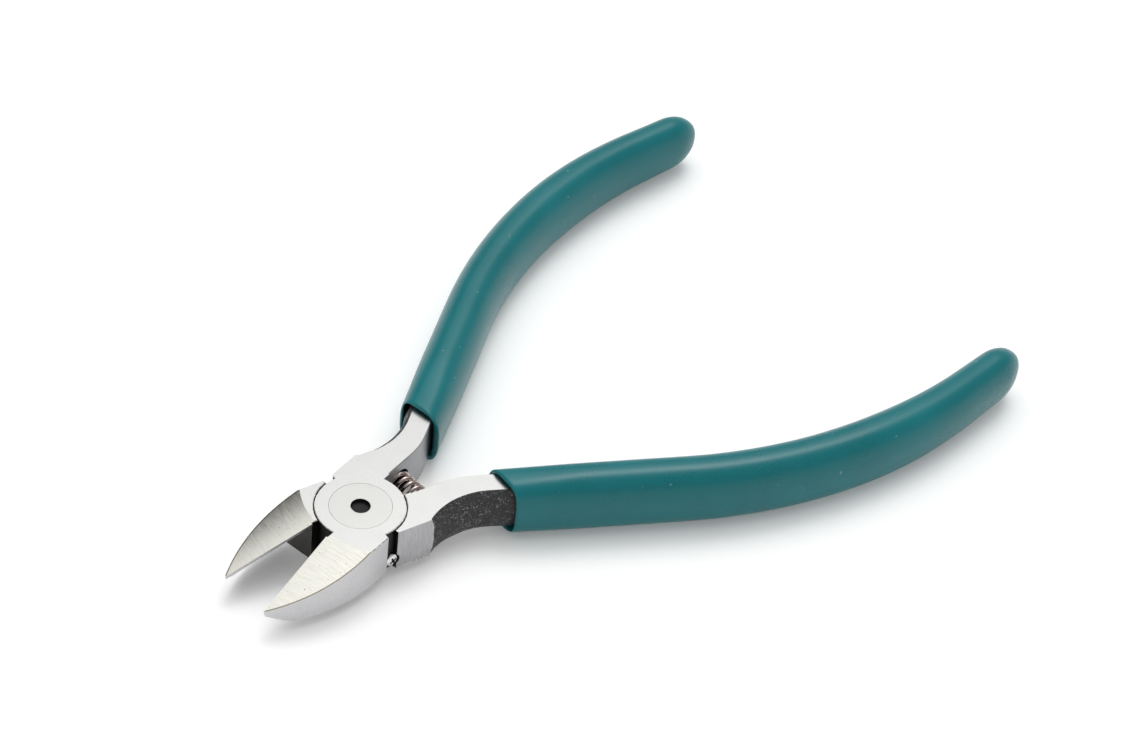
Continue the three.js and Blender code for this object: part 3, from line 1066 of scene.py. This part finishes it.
        # Rail share, push outwards as a share of the bulge, fixed push and height, round one ring
        share = np.concatenate([flat, np.ones(curved), flat[::-1], [0, 0]])
        push = np.concatenate([np.zeros(level), np.cos(angle), np.zeros(level + 2)])
        nudge = np.zeros(len(share))
        nudge[[0, -3]] = chip
        rise = np.sin(angle) * (middle - self.forged_inset)
        edges = [chip - middle, middle - chip]
        height = np.concatenate([np.full(level, middle), rise, np.full(level, -middle), edges])
        rail = inner[:, None, :] + (outer - inner)[:, None, :] * share[None, :, None]
        out = push[None, :] * bulge[:, None] + nudge[None, :]
        plan = rail + across[:, None, :] * out[:, :, None]
        rings = np.concatenate([plan, np.broadcast_to(middle + height, plan.shape[:2])[:, :, None]], axis=2)
        fade = np.sqrt(np.abs(push))
        points = rings.reshape(-1, 3)
        relief = sum(value_noise(points, cell, seed) * part for cell, part, seed in self.relief_octaves)
        depth = self.forged_relief * relief.reshape(rings.shape[:2]) * fade[None, :]
        rings[:, :, :2] += across[:, None, :] * depth[:, :, None]
        sides = np.full(len(share), int(Face.GROUND))
        sides[level - 1 : level + curved] = Face.FORGED
        sides[-3:] = Face.INNER
        return skin(rings, sides[None, :], Face.SHADED_RECESS, Face.FORGED)

    def side_grind(self) -> Surface:
        """Works out what the wheel takes off the side of the block.

        Returns:
            A bar that lies along the side.
        """
        width, over = self.joint.head_half_width, self.joint.overcut
        plan = Outline().start(self.handle.scoop_centre[0], -width - 4 * over)
        plan.line(0, -width - 4 * over, Face.SIDE).line(0, -width, Face.SIDE)
        plan.line(self.handle.scoop_centre[0], -width, Face.SIDE).close(Face.SIDE)
        return plan.prism(-over, self.joint.thickness + over, 0, 0)

    def ramp(self) -> Surface:
        """Works out what lies above the ground ramp.

        The ramp's height falls evenly to the tip, and with the square of the distance across the jaw.

        Returns:
            A solid to cut away.
        """
        top, over = self.joint.thickness, self.joint.overcut
        begin = self.edge_start - self.ramp_lead
        y = np.linspace(-over, self.joint.head_half_width + over, self.ramp_steps)
        crown = (y - self.ramp_crest) ** 2 / (2 * self.ramp_crown)
        slope = (self.tip_drop - self.ramp_crest**2 / (2 * self.ramp_crown)) / (self.reach - begin)
        along = np.array([self.flank_start, self.reach + over])
        floor = top - slope * (along[:, None] - begin) - crown[None, :]
        ring_y = np.concatenate([y, y[[-1, 0]]])
        heights = np.concatenate([floor, np.full((2, 2), 2 * top)], axis=1)
        rings = np.stack(np.broadcast_arrays(along[:, None], ring_y[None, :], heights), axis=-1)
        return skin(rings, Face.RAMP, Face.RAMP, Face.RAMP)

    def undercut(self) -> Surface:
        """Works out what is taken away below the cutting edge.

        Returns:
            A wedge that leaves a narrow land and widens to the underside.
        """
        over = self.joint.overcut
        drop = self.tip_drop / (self.reach - self.edge_start)
        rings = []
        for x, slant in [(self.edge_start, self.undercut_slant), (self.reach + over, 0.0)]:
            land = self.joint.thickness - self.land - drop * (x - self.edge_start)
            reach = (land + over) * self.undercut_spread
            rings.append([
                (x - slant * over, -over, land + over / self.undercut_spread),
                (x - slant * over, -over, -over),
                (x + slant * reach, reach, -over),
            ])
        # Its faces are painted dark grey for the shade between the jaws
        return skin(np.array(rings), Face.SHADED_UNDERCUT, Face.SHADED_UNDERCUT, Face.SHADED_UNDERCUT)

    def hollow(self) -> Surface:
        """Works out the room for the other lever's half disc.

        Returns:
            A solid to cut away, with a broken edge at its mouth.
        """
        joint, over = self.joint, self.joint.overcut
        lap = joint.middle + (joint.lap_gap / 2 if self.half.is_upper else -joint.lap_gap / 2)
        mouth = 0.0 if self.half.is_upper else joint.thickness
        outside = -1 if self.half.is_upper else 1
        radius, lip = joint.hollow_radius, joint.edge_break
        profile = [
            (radius, lap),
            (radius, mouth - outside * lip),
            (radius + lip, mouth),
            (radius + lip, mouth + outside * over),
        ]
        # The hollow's wall gets the recess finish, painted near black for the shade in the lap
        walls = [Face.SHADED_RECESS, Face.EDGE, Face.EDGE]
        return lathe(profile, walls, (Face.SHADED_RECESS, Face.SHADED_RECESS), ROUND_STEPS)

    def half_disc(self) -> Surface:
        """Turns the lever's own disc.

        Returns:
            The disc, with a broken edge on the face that shows.
        """
        joint, lip = self.joint, self.joint.edge_break
        radius, gap = joint.disc_radius, joint.lap_gap / 2
        # The disc's side wall gets the recess finish, painted near black for the shade in the lap
        if self.half.is_upper:
            top = joint.thickness
            profile = [(radius, joint.middle + gap), (radius, top - lip), (radius - lip, top)]
            walls, caps = [Face.SHADED_RECESS, Face.EDGE], (Face.SHADED_RECESS, Face.GROUND)
        else:
            profile = [(radius - lip, 0), (radius, lip), (radius, joint.middle - gap)]
            walls, caps = [Face.EDGE, Face.SHADED_RECESS], (Face.GROUND, Face.SHADED_RECESS)
        return lathe(profile, walls, caps, ROUND_STEPS)

    def rivet_room(self) -> list[Surface]:
        """Works out the counterbore for the rivet's head and the bore for its shank.

        Returns:
            Both, to cut away.
        """
        joint, over, dark = self.joint, self.joint.overcut, Face.SHADED_RECESS
        top, depth = joint.thickness, joint.rivet_head + joint.rivet_gap
        low, high = (top - depth, top + over) if self.half.is_upper else (-over, depth)
        head = disc(joint.rivet_radius + joint.rivet_gap, low, high, dark, dark)
        shank = disc(joint.rivet_shank + joint.rivet_gap, -over, top + over, dark, dark, BORE_STEPS)
        return [head, shank]

    def pocket(self) -> Surface:
        """Works out the blind hole for the end of the spring, parallel to Y in the open tool.

        Returns:
            A bar to cut away, in the shut drawing.
        """
        bar = disc(self.spring_pocket, 0, self.spring_floor, Face.SHADED_RECESS, Face.SHADED_RECESS, HOLE_STEPS)
        x, y, z = bar.points.T
        laid = np.column_stack([x - self.spring_reach, -self.half.side * z, y + self.joint.middle])
        return Surface(self.half.shut(laid), bar.faces, bar.finishes).outward()

    def build(self, materials: Sequence[bpy.types.Material], rooms: Sequence[Surface]) -> bpy.types.Object:
        """Makes the lever.

        Args:
            materials: One material for each kind of face, in the order of Face.
            rooms: Further solids to cut away, in the shut drawing.

        Returns:
            The finished lever, riding on its half.
        """
        steps = [
            (Join.CUT, self.side_grind()),
            (Join.ADD, self.block()),
            (Join.ADD, self.jaw()),
            (Join.CUT, self.ramp()),
            (Join.CUT, self.undercut()),
            (Join.CUT, self.hollow()),
            (Join.ADD, self.half_disc()),
            *[(Join.CUT, room) for room in [*self.rivet_room(), self.pocket(), *rooms]],
        ]
        mesh = worked(f"{self.half.lever}_forging", self.neck(), steps, materials)
        soften(mesh, STEEL_CREASE, Face.FORGED)
        made = placed(mesh, self.half.open, not self.half.is_upper)
        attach(made, self.half.body)
        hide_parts(self.half.lever)
        return made

    def finishes(self) -> list[bpy.types.Material]:
        """Makes one material for each kind of face, its grain turned with the lever.

        Returns:
            The materials, in the order of Face.
        """
        lean = self.half.side * self.half.open_angle
        centre = self.half.open(np.array([[*self.flank_circle[:2], 0.0]]))[0]
        name = self.half.lever
        ring = (centre[0], centre[1], self.flank_circle[2])
        made = {
            Face.GROUND: WorkedSteel(
                f"{name}_ground", (0.53, 0.53, 0.52), 0.32, (1.0, 7.0, 3.0),
                turn=-lean, streak=0.035, rub=0.03, depth=0.0008, cloud=0.04,
            ),
            Face.RAMP: WorkedSteel(
                f"{name}_ramp", (0.75, 0.74, 0.68), 0.2, (4.0, 0.3, 0.3),
                turn=-lean, streak=0.06, rub=0.04, depth=0.0012, cloud=0.02, pits=0.6, rim=ring,
            ),
            Face.FLANK: WorkedSteel(
                f"{name}_flank", (0.6, 0.6, 0.61), 0.42, (5.0, 5.0, 4.0),
                streak=0.09, rub=0.04, depth=0.0015, cloud=0.05,
            ),
            Face.FORGED: ForgedSteel(f"{name}_forged", (0.06, 0.06, 0.062), (0.5, 0.5, 0.51), 0.45),
            Face.INNER: WorkedSteel(
                f"{name}_inner", (0.36, 0.36, 0.37), 0.42, (2.0, 2.0, 2.0),
                streak=0.15, rub=0.08, depth=0.006,
            ),
            # Painted shade: near-black steel for the walls in the gap between the levers, the bores and the
            # pockets
            Face.SHADED_RECESS: PlainSteel(f"{name}_recess", (0.03, 0.029, 0.028), 0.5),
            Face.EDGE: PlainSteel(f"{name}_edge", (0.75, 0.75, 0.74), 0.25),
            # Painted shade: dark grey steel on the undercut, which lies in shade between the jaws
            Face.SHADED_UNDERCUT: PlainSteel(f"{name}_shaded_undercut", (0.1, 0.097, 0.094), 0.42),
            Face.SIDE: WorkedSteel(
                f"{name}_side", (0.42, 0.42, 0.43), 0.42, (4.0, 4.0, 0.35),
                streak=0.14, rub=0.08, depth=0.003, cloud=0.08,
            ),
        }
        return [made[face].material() for face in Face]


# The small pieces


@dataclass
class Rivet:
    """The pivot rivet: two heads ground flush on one shank, with a small blind recess in the upper head."""

    joint: Joint
    recess_radius: float = 1.7
    recess_depth: float = 0.8
    recess_cone: float = 0.2
    edge_break: float = 0.03
    axis_gap: float = 0.05

    def build(self) -> bpy.types.Object:
        """Carries one profile round the axis.

        Returns:
            The finished rivet.
        """
        joint, top, lip = self.joint, self.joint.thickness, self.edge_break
        head, shank, hole = joint.rivet_radius, joint.rivet_shank, self.recess_radius
        floor = top - self.recess_depth
        outside = [
            (self.axis_gap, 0.0), (head - lip, 0.0), (head, lip), (head, joint.rivet_head),
            (shank, joint.rivet_head), (shank, top - joint.rivet_head), (head, top - joint.rivet_head),
            (head, top - lip), (head - lip, top), (hole + lip, top), (hole, top - lip),
        ]
        recess = [(hole, floor), (self.axis_gap, floor - self.recess_cone)]
        walls = [0] * (len(outside) - 1) + [1] * len(recess)
        ground = WorkedSteel(
            "rivet_ground", (0.51, 0.51, 0.497), 0.33, (1.2, 9.0, 3.0),
            turn=20.0, streak=0.02, rub=0.03, depth=0.0006,
        )
        dark = PlainSteel("rivet_recess", (0.012, 0.012, 0.012), 0.6, metallic=0.4)
        shape = lathe(outside + recess, walls, (0, 1), ROUND_STEPS)
        made = shape.object("pivot_rivet_turned", [ground.material(), dark.material()], MM)
        soften(made.data, STEEL_CREASE)
        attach(made, "lower_half")
        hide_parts("pivot_rivet")
        return made


@dataclass
class Spring:
    """The return spring: one wire wound between the pockets, with a short straight end at each."""

    joint: Joint
    reach: float = 11.9
    wire: float = 0.75
    outer: float = 4.4
    turns: float = 5.5
    half_length: float = 5.4
    lead: float = 1 / 12
    knee: float = 0.8
    turn_steps: int = 48
    around: int = 20

    def path(self) -> Array:
        """Works out the wire's middle line from a turn and a distance along Y at each point.

        Returns:
            The points of the line.
        """
        stub = elbow = self.wire
        wound = self.half_length - stub - elbow
        turn = np.linspace(0, self.turns, int(self.turns * self.turn_steps) + 1)
        along = np.linspace(-wound, wound, len(turn))
        ends = np.array([[-self.lead, -self.half_length], [-self.lead, stub - self.half_length]])
        elbows = np.array([[-self.lead / 2, stub + self.knee * elbow - self.half_length]])
        first = np.concatenate([ends, elbows])
        last = np.column_stack([self.turns - first[::-1, 0], -first[::-1, 1]])
        course = np.concatenate([first, np.column_stack([turn, along]), last])
        radius = (self.outer - self.wire) / 2
        angle = 2 * math.pi * course[:, 0]
        x = radius * np.cos(angle) - self.reach
        return np.column_stack([x, course[:, 1], radius * np.sin(angle) + self.joint.middle])

    def build(self) -> bpy.types.Object:
        """Carries a round section along the wire's line, square to it.

        Returns:
            The finished spring.
        """
        line = self.path()
        tangent = np.gradient(line, axis=0)
        tangent /= np.linalg.norm(tangent, axis=1, keepdims=True)
        outward = line - np.array([-self.reach, 0, self.joint.middle])
        outward[:, 1] = 0
        side = np.cross(tangent, outward)
        side /= np.linalg.norm(side, axis=1, keepdims=True)
        up = np.cross(side, tangent)
        angle = np.linspace(0, 2 * math.pi, self.around, endpoint=False)
        rings = line[:, None, :] + self.wire / 2 * (
            np.cos(angle)[None, :, None] * up[:, None, :] + np.sin(angle)[None, :, None] * side[:, None, :]
        )
        material = WorkedSteel(
            "spring_wire", (0.6, 0.5, 0.47), 0.16, (0.8, 0.8, 0.8), streak=0.25, rub=0.05, depth=0.001
        ).material()
        made = skin(rings, 0).object("return_spring_wire", [material], MM)
        soften(made.data, ROUND_CREASE)
        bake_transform(made)
        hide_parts("return_spring")
        return made


@dataclass
class StopScrew:
    """The pan head screw beside the joint, with a cross recess; it points along Y."""

    joint: Joint
    half: Half
    head_radius: float = 1.25
    head_height: float = 1.0
    rim_height: float = 0.55
    shank_radius: float = 0.75
    shank_length: float = 2.0
    slot_width: float = 0.4
    slot_length: float = 1.5
    slot_depth: float = 0.45
    slot_turn: float = math.radians(24)
    seat_depth: float = 0.25
    gap: float = 0.1
    stop_gap: float = 0.05
    crown_steps: int = 8
    slot_steps: int = 8

    def __post_init__(self) -> None:
        """Works out where the head bears on the other lever's shoulder."""
        joint = self.joint
        self.z = (joint.middle - joint.lap_gap / 2) / 2
        self.seat = joint.disc_radius - self.seat_depth
        top = self.seat + self.gap + self.head_height
        line = joint.shoulder + math.radians(self.half.open_angle)
        bearing = (self.seat + top) / 2 * math.cos(line) - self.head_radius - self.stop_gap
        self.x = bearing / math.sin(line)

    def stand(self, points: Array) -> Array:
        """Stands points of an upright screw at the origin in its place, along Y."""
        x, y, z = points.T
        return np.column_stack([x + self.x, z + self.seat + self.gap, self.z - y])

    def room(self) -> list[Surface]:
        """Works out the spot face and the hole in the half disc.

        Returns:
            Both, to cut away, in the shut drawing.
        """
        outside = self.joint.head_half_width
        depths = {self.head_radius: self.gap, self.shank_radius: self.shank_length + 2 * self.gap}
        made = []
        for radius, depth in depths.items():
            bar = disc(radius + self.gap, -depth, outside, Face.SHADED_RECESS, Face.SHADED_RECESS, HOLE_STEPS)
            made.append(Surface(self.half.shut(self.stand(bar.points)), bar.faces, bar.finishes).outward())
        return made

    def build(self) -> bpy.types.Object:
        """Turns the screw and cuts the cross.

        Returns:
            The finished screw.
        """
        angle = np.linspace(0, math.pi / 2, self.crown_steps + 1)[:-1]
        crown = zip(
            self.head_radius * np.cos(angle),
            self.rim_height + (self.head_height - self.rim_height) * np.sin(angle),
        )
        shank = [(self.shank_radius, -self.shank_length), (self.shank_radius, 0.0)]
        profile = [*shank, (self.head_radius, 0.0), *crown]
        head = lathe(profile, [0] * (len(profile) - 1), (0, 0), BORE_STEPS)
        cuts = [(Join.CUT, self.slot(self.slot_turn + quarter)) for quarter in (0.0, math.pi / 2)]
        materials = [
            PlainSteel("screw_steel", (0.72, 0.72, 0.71), 0.24).material(),
            # Painted shade: the cross is near black for the shade inside it
            PlainSteel("screw_slot_shade", (0.01, 0.01, 0.01), 0.6, metallic=0.3).material(),
        ]
        mesh = worked("stop_screw_turned", head, cuts, materials)
        soften(mesh, SCREW_CREASE)
        made = placed(mesh, self.stand, False)
        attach(made, "lower_half")
        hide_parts("stop_screw")
        return made

    def slot(self, turn: float) -> Surface:
        """Draws one arm of the cross and turns it about the screw's axis.

        Args:
            turn: The angle in radians.

        Returns:
            A box with round ends, to cut away.
        """
        width, length = self.slot_width / 2, self.slot_length / 2 - self.slot_width / 2
        plan = Outline().start(-length, -width).line(length, -width, 1)
        plan.arc((length, 0), width, math.pi / 2, self.slot_steps, 1).line(-length, width, 1)
        plan.arc((-length, 0), width, 3 * math.pi / 2, self.slot_steps, 1)
        plan.points.pop()
        box = plan.prism(self.head_height - self.slot_depth, 2 * self.head_height, 0, 0, 1)
        box.points = turned(box.points, turn)
        return box


@dataclass
class Sleeve:
    """A dipped sleeve: an oval skin along the handle with a rounded lip at its mouth and a round end."""

    half: Half
    joint: Joint
    handle: Handle
    length: float = 107.5
    mouth_slant: float = 0.5
    mouth_side: float = 1.48
    mouth_top: float = 1.4
    mouth_roundness: float = 2.8
    side_wall: float = 1.82
    top_wall: float = 1.9
    end_side: float = 1.77
    end_top: float = 2.37
    end_share: float = 0.72
    roundness: float = 2.3
    swell: float = 16.0
    taper: float = 42.0
    cap: float = 7.0
    lip: float = 0.55
    cavity_gap: float = 0.45
    cavity_roundness: float = 6.0
    cavity_depth: float = 7.0
    around: int = 96
    lip_steps: int = 13
    cavity_steps: int = 6
    dome_steps: int = 22
    length_steps: int = 150

    def half_sizes(self, distance: Array) -> tuple[Array, Array]:
        """Works out the outer skin's size along the handle.

        Args:
            distance: Distances from the mouth.

        Returns:
            Half the width and half the height there.
        """
        tang = self.handle.tang_inner + self.handle.tang_outer + self.handle.bulge
        into_cap = np.maximum(0, distance - (self.length - self.cap)) / self.cap
        dome = np.sqrt(np.maximum(0, 1 - into_cap**2))
        taper = smoothstep(distance, self.length - self.taper, self.length)
        swell = smoothstep(distance, 0, self.swell)
        body = tang / 2 + self.mouth_side + (self.side_wall - self.mouth_side) * swell
        end = tang / 2 * self.end_share + self.end_side
        tall = self.joint.middle + self.mouth_top + (self.top_wall - self.mouth_top) * swell
        end_tall = self.joint.middle * self.end_share + self.end_top
        return (body + (end - body) * taper) * dome, (tall + (end_tall - tall) * taper) * dome

    def section(self, wide: Array, tall: Array, roundness: Array) -> Array:
        """Superellipses: the cosine and sine of the angle, each to the power of two over the roundness.

        Args:
            wide: Half the width of each section.
            tall: Half the height of each section.
            roundness: The superellipse's exponent for each section; 2 is an ellipse.

        Returns:
            Points across and up from the middle, as sections, points round a section, and two coordinates.
        """
        angle = np.linspace(0, 2 * math.pi, self.around, endpoint=False)
        power = 2 / roundness[:, None]
        across, up = (np.sign(f) * np.abs(f) ** power for f in (np.cos(angle), np.sin(angle)))
        return np.stack([wide[:, None] * across, tall[:, None] * up], axis=-1)

    def build(self, material: bpy.types.Material) -> bpy.types.Object:
        """Makes the sleeve.

        The profile runs out of the cavity, over the lip and along the outside to the end. Over the lip
        the section passes from the cavity's to the outer one by a cosine while the distance follows a
        sine. The mouth slants: near it a point lies further along the handle the further out it is.

        Args:
            material: The vinyl.

        Returns:
            The finished sleeve, riding on its half.
        """
        turn = np.linspace(0, math.pi, self.lip_steps)
        inside = np.linspace(self.cavity_depth, self.lip, self.cavity_steps)[:-1]
        body_end = self.length - self.cap
        dome = body_end + self.cap * np.sin(np.linspace(0, math.pi / 2, self.dome_steps)[:-1])
        outside = np.concatenate([np.linspace(self.lip, body_end, self.length_steps)[1:-1], dome])
        distance = np.concatenate([inside, self.lip * (1 - np.sin(turn)), outside])
        share = np.concatenate([np.zeros(len(inside)), (1 - np.cos(turn)) / 2, np.ones(len(outside))])
        tang = self.handle.tang_inner + self.handle.tang_outer + self.handle.bulge
        offset = tang / 2 - self.handle.tang_inner
        ones = np.ones(len(distance))
        room = self.cavity_gap
        hole = self.section(
            (tang / 2 + room) * ones, (self.joint.middle + room) * ones, self.cavity_roundness * ones
        )
        hole[:, :, 0] += offset
        mouth = 1 - smoothstep(distance, 0, self.swell)
        roundness = self.roundness + (self.mouth_roundness - self.roundness) * mouth
        outer = self.section(*self.half_sizes(distance), roundness)
        ring = hole + (outer - hole) * share[:, None, None]
        centre, outward = self.handle.path(distance)
        slant = self.mouth_slant * mouth[:, None] * ring[:, :, 0]
        across = outward[:, None, :] * ring[:, :, :1]
        plan = centre[:, None, :] + across + self.handle.along * slant[:, :, None]
        points = np.concatenate([plan, self.joint.middle + ring[:, :, 1:]], axis=2)
        shape = skin(points, 0)
        shape.points = self.half.open(shape.points)
        made = shape.outward().object(f"{self.half.grip}_sleeve", [material], MM)
        soften(made.data, ROUND_CREASE)
        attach(made, self.half.body)
        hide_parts(self.half.grip)
        return made


# Table, light and camera


@dataclass(frozen=True)
class Glow:
    """A round patch of the sky with a soft edge, in degrees, that adds light or takes it away."""

    azimuth: float
    elevation: float
    inner: float
    outer: float
    level: float


@dataclass
class Studio:
    """A white table top, a soft sky, one broad lamp above, and the camera."""

    floor_height: float = -1.9
    floor_size: float = 4000.0
    floor_colour: Colour = (0.9, 0.9, 0.9)
    floor_lift: float = 0.13
    ambient: float = 0.45
    horizon_level: float = 0.5
    horizon_height: float = 20.0
    # A broad glow, a small bright one and a dim patch
    glows: tuple[Glow, ...] = (
        Glow(312.0, 66.0, 24.0, 36.0, 0.75),
        Glow(298.0, 64.0, 2.0, 18.0, 5.0),
        Glow(347.0, 34.0, 6.0, 22.0, -0.32),
    )
    lamp_level: float = 0.34
    lamp_azimuth: float = 330.0
    lamp_elevation: float = 76.0
    lamp_distance: float = 1500.0
    lamp_size: float = 1900.0
    lens: float = 95.24
    sensor: float = 36.0
    aim: tuple[float, float, float] = (-53.034, -4.978, 4.35)
    distance: float = 540.54
    azimuth: float = 132.25
    elevation: float = 42.56
    roll: float = 6.93
    clip_start: float = 0.01
    clip_end: float = 20.0

    @staticmethod
    def towards(azimuth: float, elevation: float) -> Array:
        """A direction by its azimuth and elevation in degrees; azimuth 0 is towards -Y."""
        a, e = math.radians(azimuth), math.radians(elevation)
        return np.array([math.sin(a) * math.cos(e), -math.cos(a) * math.cos(e), math.sin(e)])

    def table(self) -> None:
        """Lays the table top."""
        half = self.floor_size / 2
        corners = np.array([(-half, -half), (half, -half), (half, half), (-half, half)])
        points = np.column_stack([corners, np.full(4, self.floor_height)])
        material, graph = new_material("table_white")
        paper = graph.add("ShaderNodeBsdfDiffuse", {}, {"Color": (*self.floor_colour, 1.0)})
        sight = graph.add("ShaderNodeLightPath", output="Is Camera Ray")
        mirror = graph.add("ShaderNodeLightPath", output="Is Glossy Ray")
        lift = (sight + mirror) * self.floor_lift
        glow = graph.add("ShaderNodeEmission", {}, {"Color": (1, 1, 1, 1), "Strength": lift})
        both = graph.add("ShaderNodeAddShader", {}, {0: paper, 1: glow})
        graph.close("ShaderNodeOutputMaterial", {"Surface": both})
        Surface(points, [[0, 1, 2, 3]], np.zeros(1)).object("table_top", [material], MM)

    def light(self) -> None:
        """Lights the scene by an even sky with a pale horizon and the patches of light.

        The sky is plain white where the camera sees it.
        """
        world = bpy.data.worlds.new("soft_studio")
        world.use_nodes = True
        bpy.context.scene.world = world
        graph = Graph(world.node_tree)
        height = self._facing(graph, 0.0, 90.0)
        band = math.sin(math.radians(self.horizon_height))
        level = graph.spread(height, 0.0, band, self.ambient + self.horizon_level, self.ambient)
        for glow in self.glows:
            edges = [math.cos(math.radians(angle)) for angle in (glow.outer, glow.inner)]
            facing = self._facing(graph, glow.azimuth, glow.elevation)
            level = level + graph.spread(facing, *edges, 0.0, glow.level)
        sight = graph.add("ShaderNodeLightPath", output="Is Camera Ray")
        strength = level + (1.0 - level) * sight
        sky = graph.add("ShaderNodeBackground", {}, {"Color": (1, 1, 1, 1), "Strength": strength})
        graph.close("ShaderNodeOutputWorld", {"Surface": sky})

    def _facing(self, graph: Graph, azimuth: float, elevation: float) -> Wire:
        """Compares a direction of the sky with a given one.

        Args:
            graph: The sky's graph.
            azimuth: Azimuth of the given direction in degrees.
            elevation: Its elevation in degrees.

        Returns:
            The cosine of the angle between the two.
        """
        here = graph.add("ShaderNodeTexCoord", output="Generated")
        towards = tuple(self.towards(azimuth, elevation))
        inputs = {0: here, 1: towards}
        return graph.add("ShaderNodeVectorMath", {"operation": "DOT_PRODUCT"}, inputs, "Value")

    def lamp(self) -> None:
        """Hangs a broad lamp that lights matt surfaces and throws the shadow, unseen in the steel.

        Its power follows from the level wanted on the table: pi squared times the square of the
        distance, over the sine of the elevation.
        """
        towards = self.towards(self.lamp_azimuth, self.lamp_elevation)
        distance = self.lamp_distance * MM
        data = bpy.data.lights.new("broad_lamp", "AREA")
        data.size = self.lamp_size * MM
        data.energy = self.lamp_level * math.pi**2 * distance**2 / towards[2]
        made = bpy.data.objects.new("broad_lamp", data)
        made.visible_glossy = False
        made.rotation_euler = Vector(towards.tolist()).to_track_quat("Z", "Y").to_euler()
        made.location = (towards * distance).tolist()
        bpy.context.scene.collection.objects.link(made)

    def camera(self) -> None:
        """Stands the camera where it looks at the tool as in the photograph."""
        back = self.towards(self.azimuth, self.elevation)
        turn = math.radians(self.azimuth)
        level = np.array([math.cos(turn), math.sin(turn), 0.0])
        upright = np.cross(back, level)
        tilt = math.radians(self.roll)
        right = level * math.cos(tilt) + upright * math.sin(tilt)
        up = upright * math.cos(tilt) - level * math.sin(tilt)
        place = (np.array(self.aim) + back * self.distance) * MM
        data = bpy.data.cameras.new("camera")
        data.lens = self.lens
        data.sensor_width = self.sensor
        data.clip_start = self.clip_start
        data.clip_end = self.clip_end
        made = bpy.data.objects.new("camera", data)
        bpy.context.scene.collection.objects.link(made)
        columns = np.column_stack([right, up, back, place])
        made.matrix_world = Matrix([*columns.tolist(), [0.0, 0.0, 0.0, 1.0]])
        bpy.context.scene.camera = made

    def build(self) -> None:
        """Sets the view transform and puts everything round the tool."""
        bpy.context.scene.view_settings.view_transform = "Standard"
        self.table()
        self.light()
        self.lamp()
        self.camera()


def main() -> None:
    """Builds the tool and the studio."""
    logging.basicConfig(level=logging.INFO, format="%(message)s")
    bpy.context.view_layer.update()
    joint, handle = Joint(), Handle()
    halves = [
        Half("upper_half", "upper_lever", "upper_lever_grip", True),
        Half("lower_half", "lower_lever", "lower_lever_grip", False),
    ]
    screw = StopScrew(joint, halves[1])
    teal, rubbed, dust = (0.0, 0.142, 0.158), (0.0, 0.172, 0.192), (0.45, 0.6, 0.6)
    vinyl = SleeveVinyl("sleeve_teal", teal, rubbed, dust, 0.3).material()
    made = []
    for half in halves:
        lever = Lever(half, joint, handle)
        made.append(lever.build(lever.finishes(), [] if half.is_upper else screw.room()))
        made.append(Sleeve(half, joint, handle).build(vinyl))
    made += [Rivet(joint).build(), Spring(joint).build(), screw.build()]
    for piece in made:
        log.info("%s: %d faces", piece.name, len(piece.data.polygons))
    Studio().build()


if __name__ == "__main__":
    main()
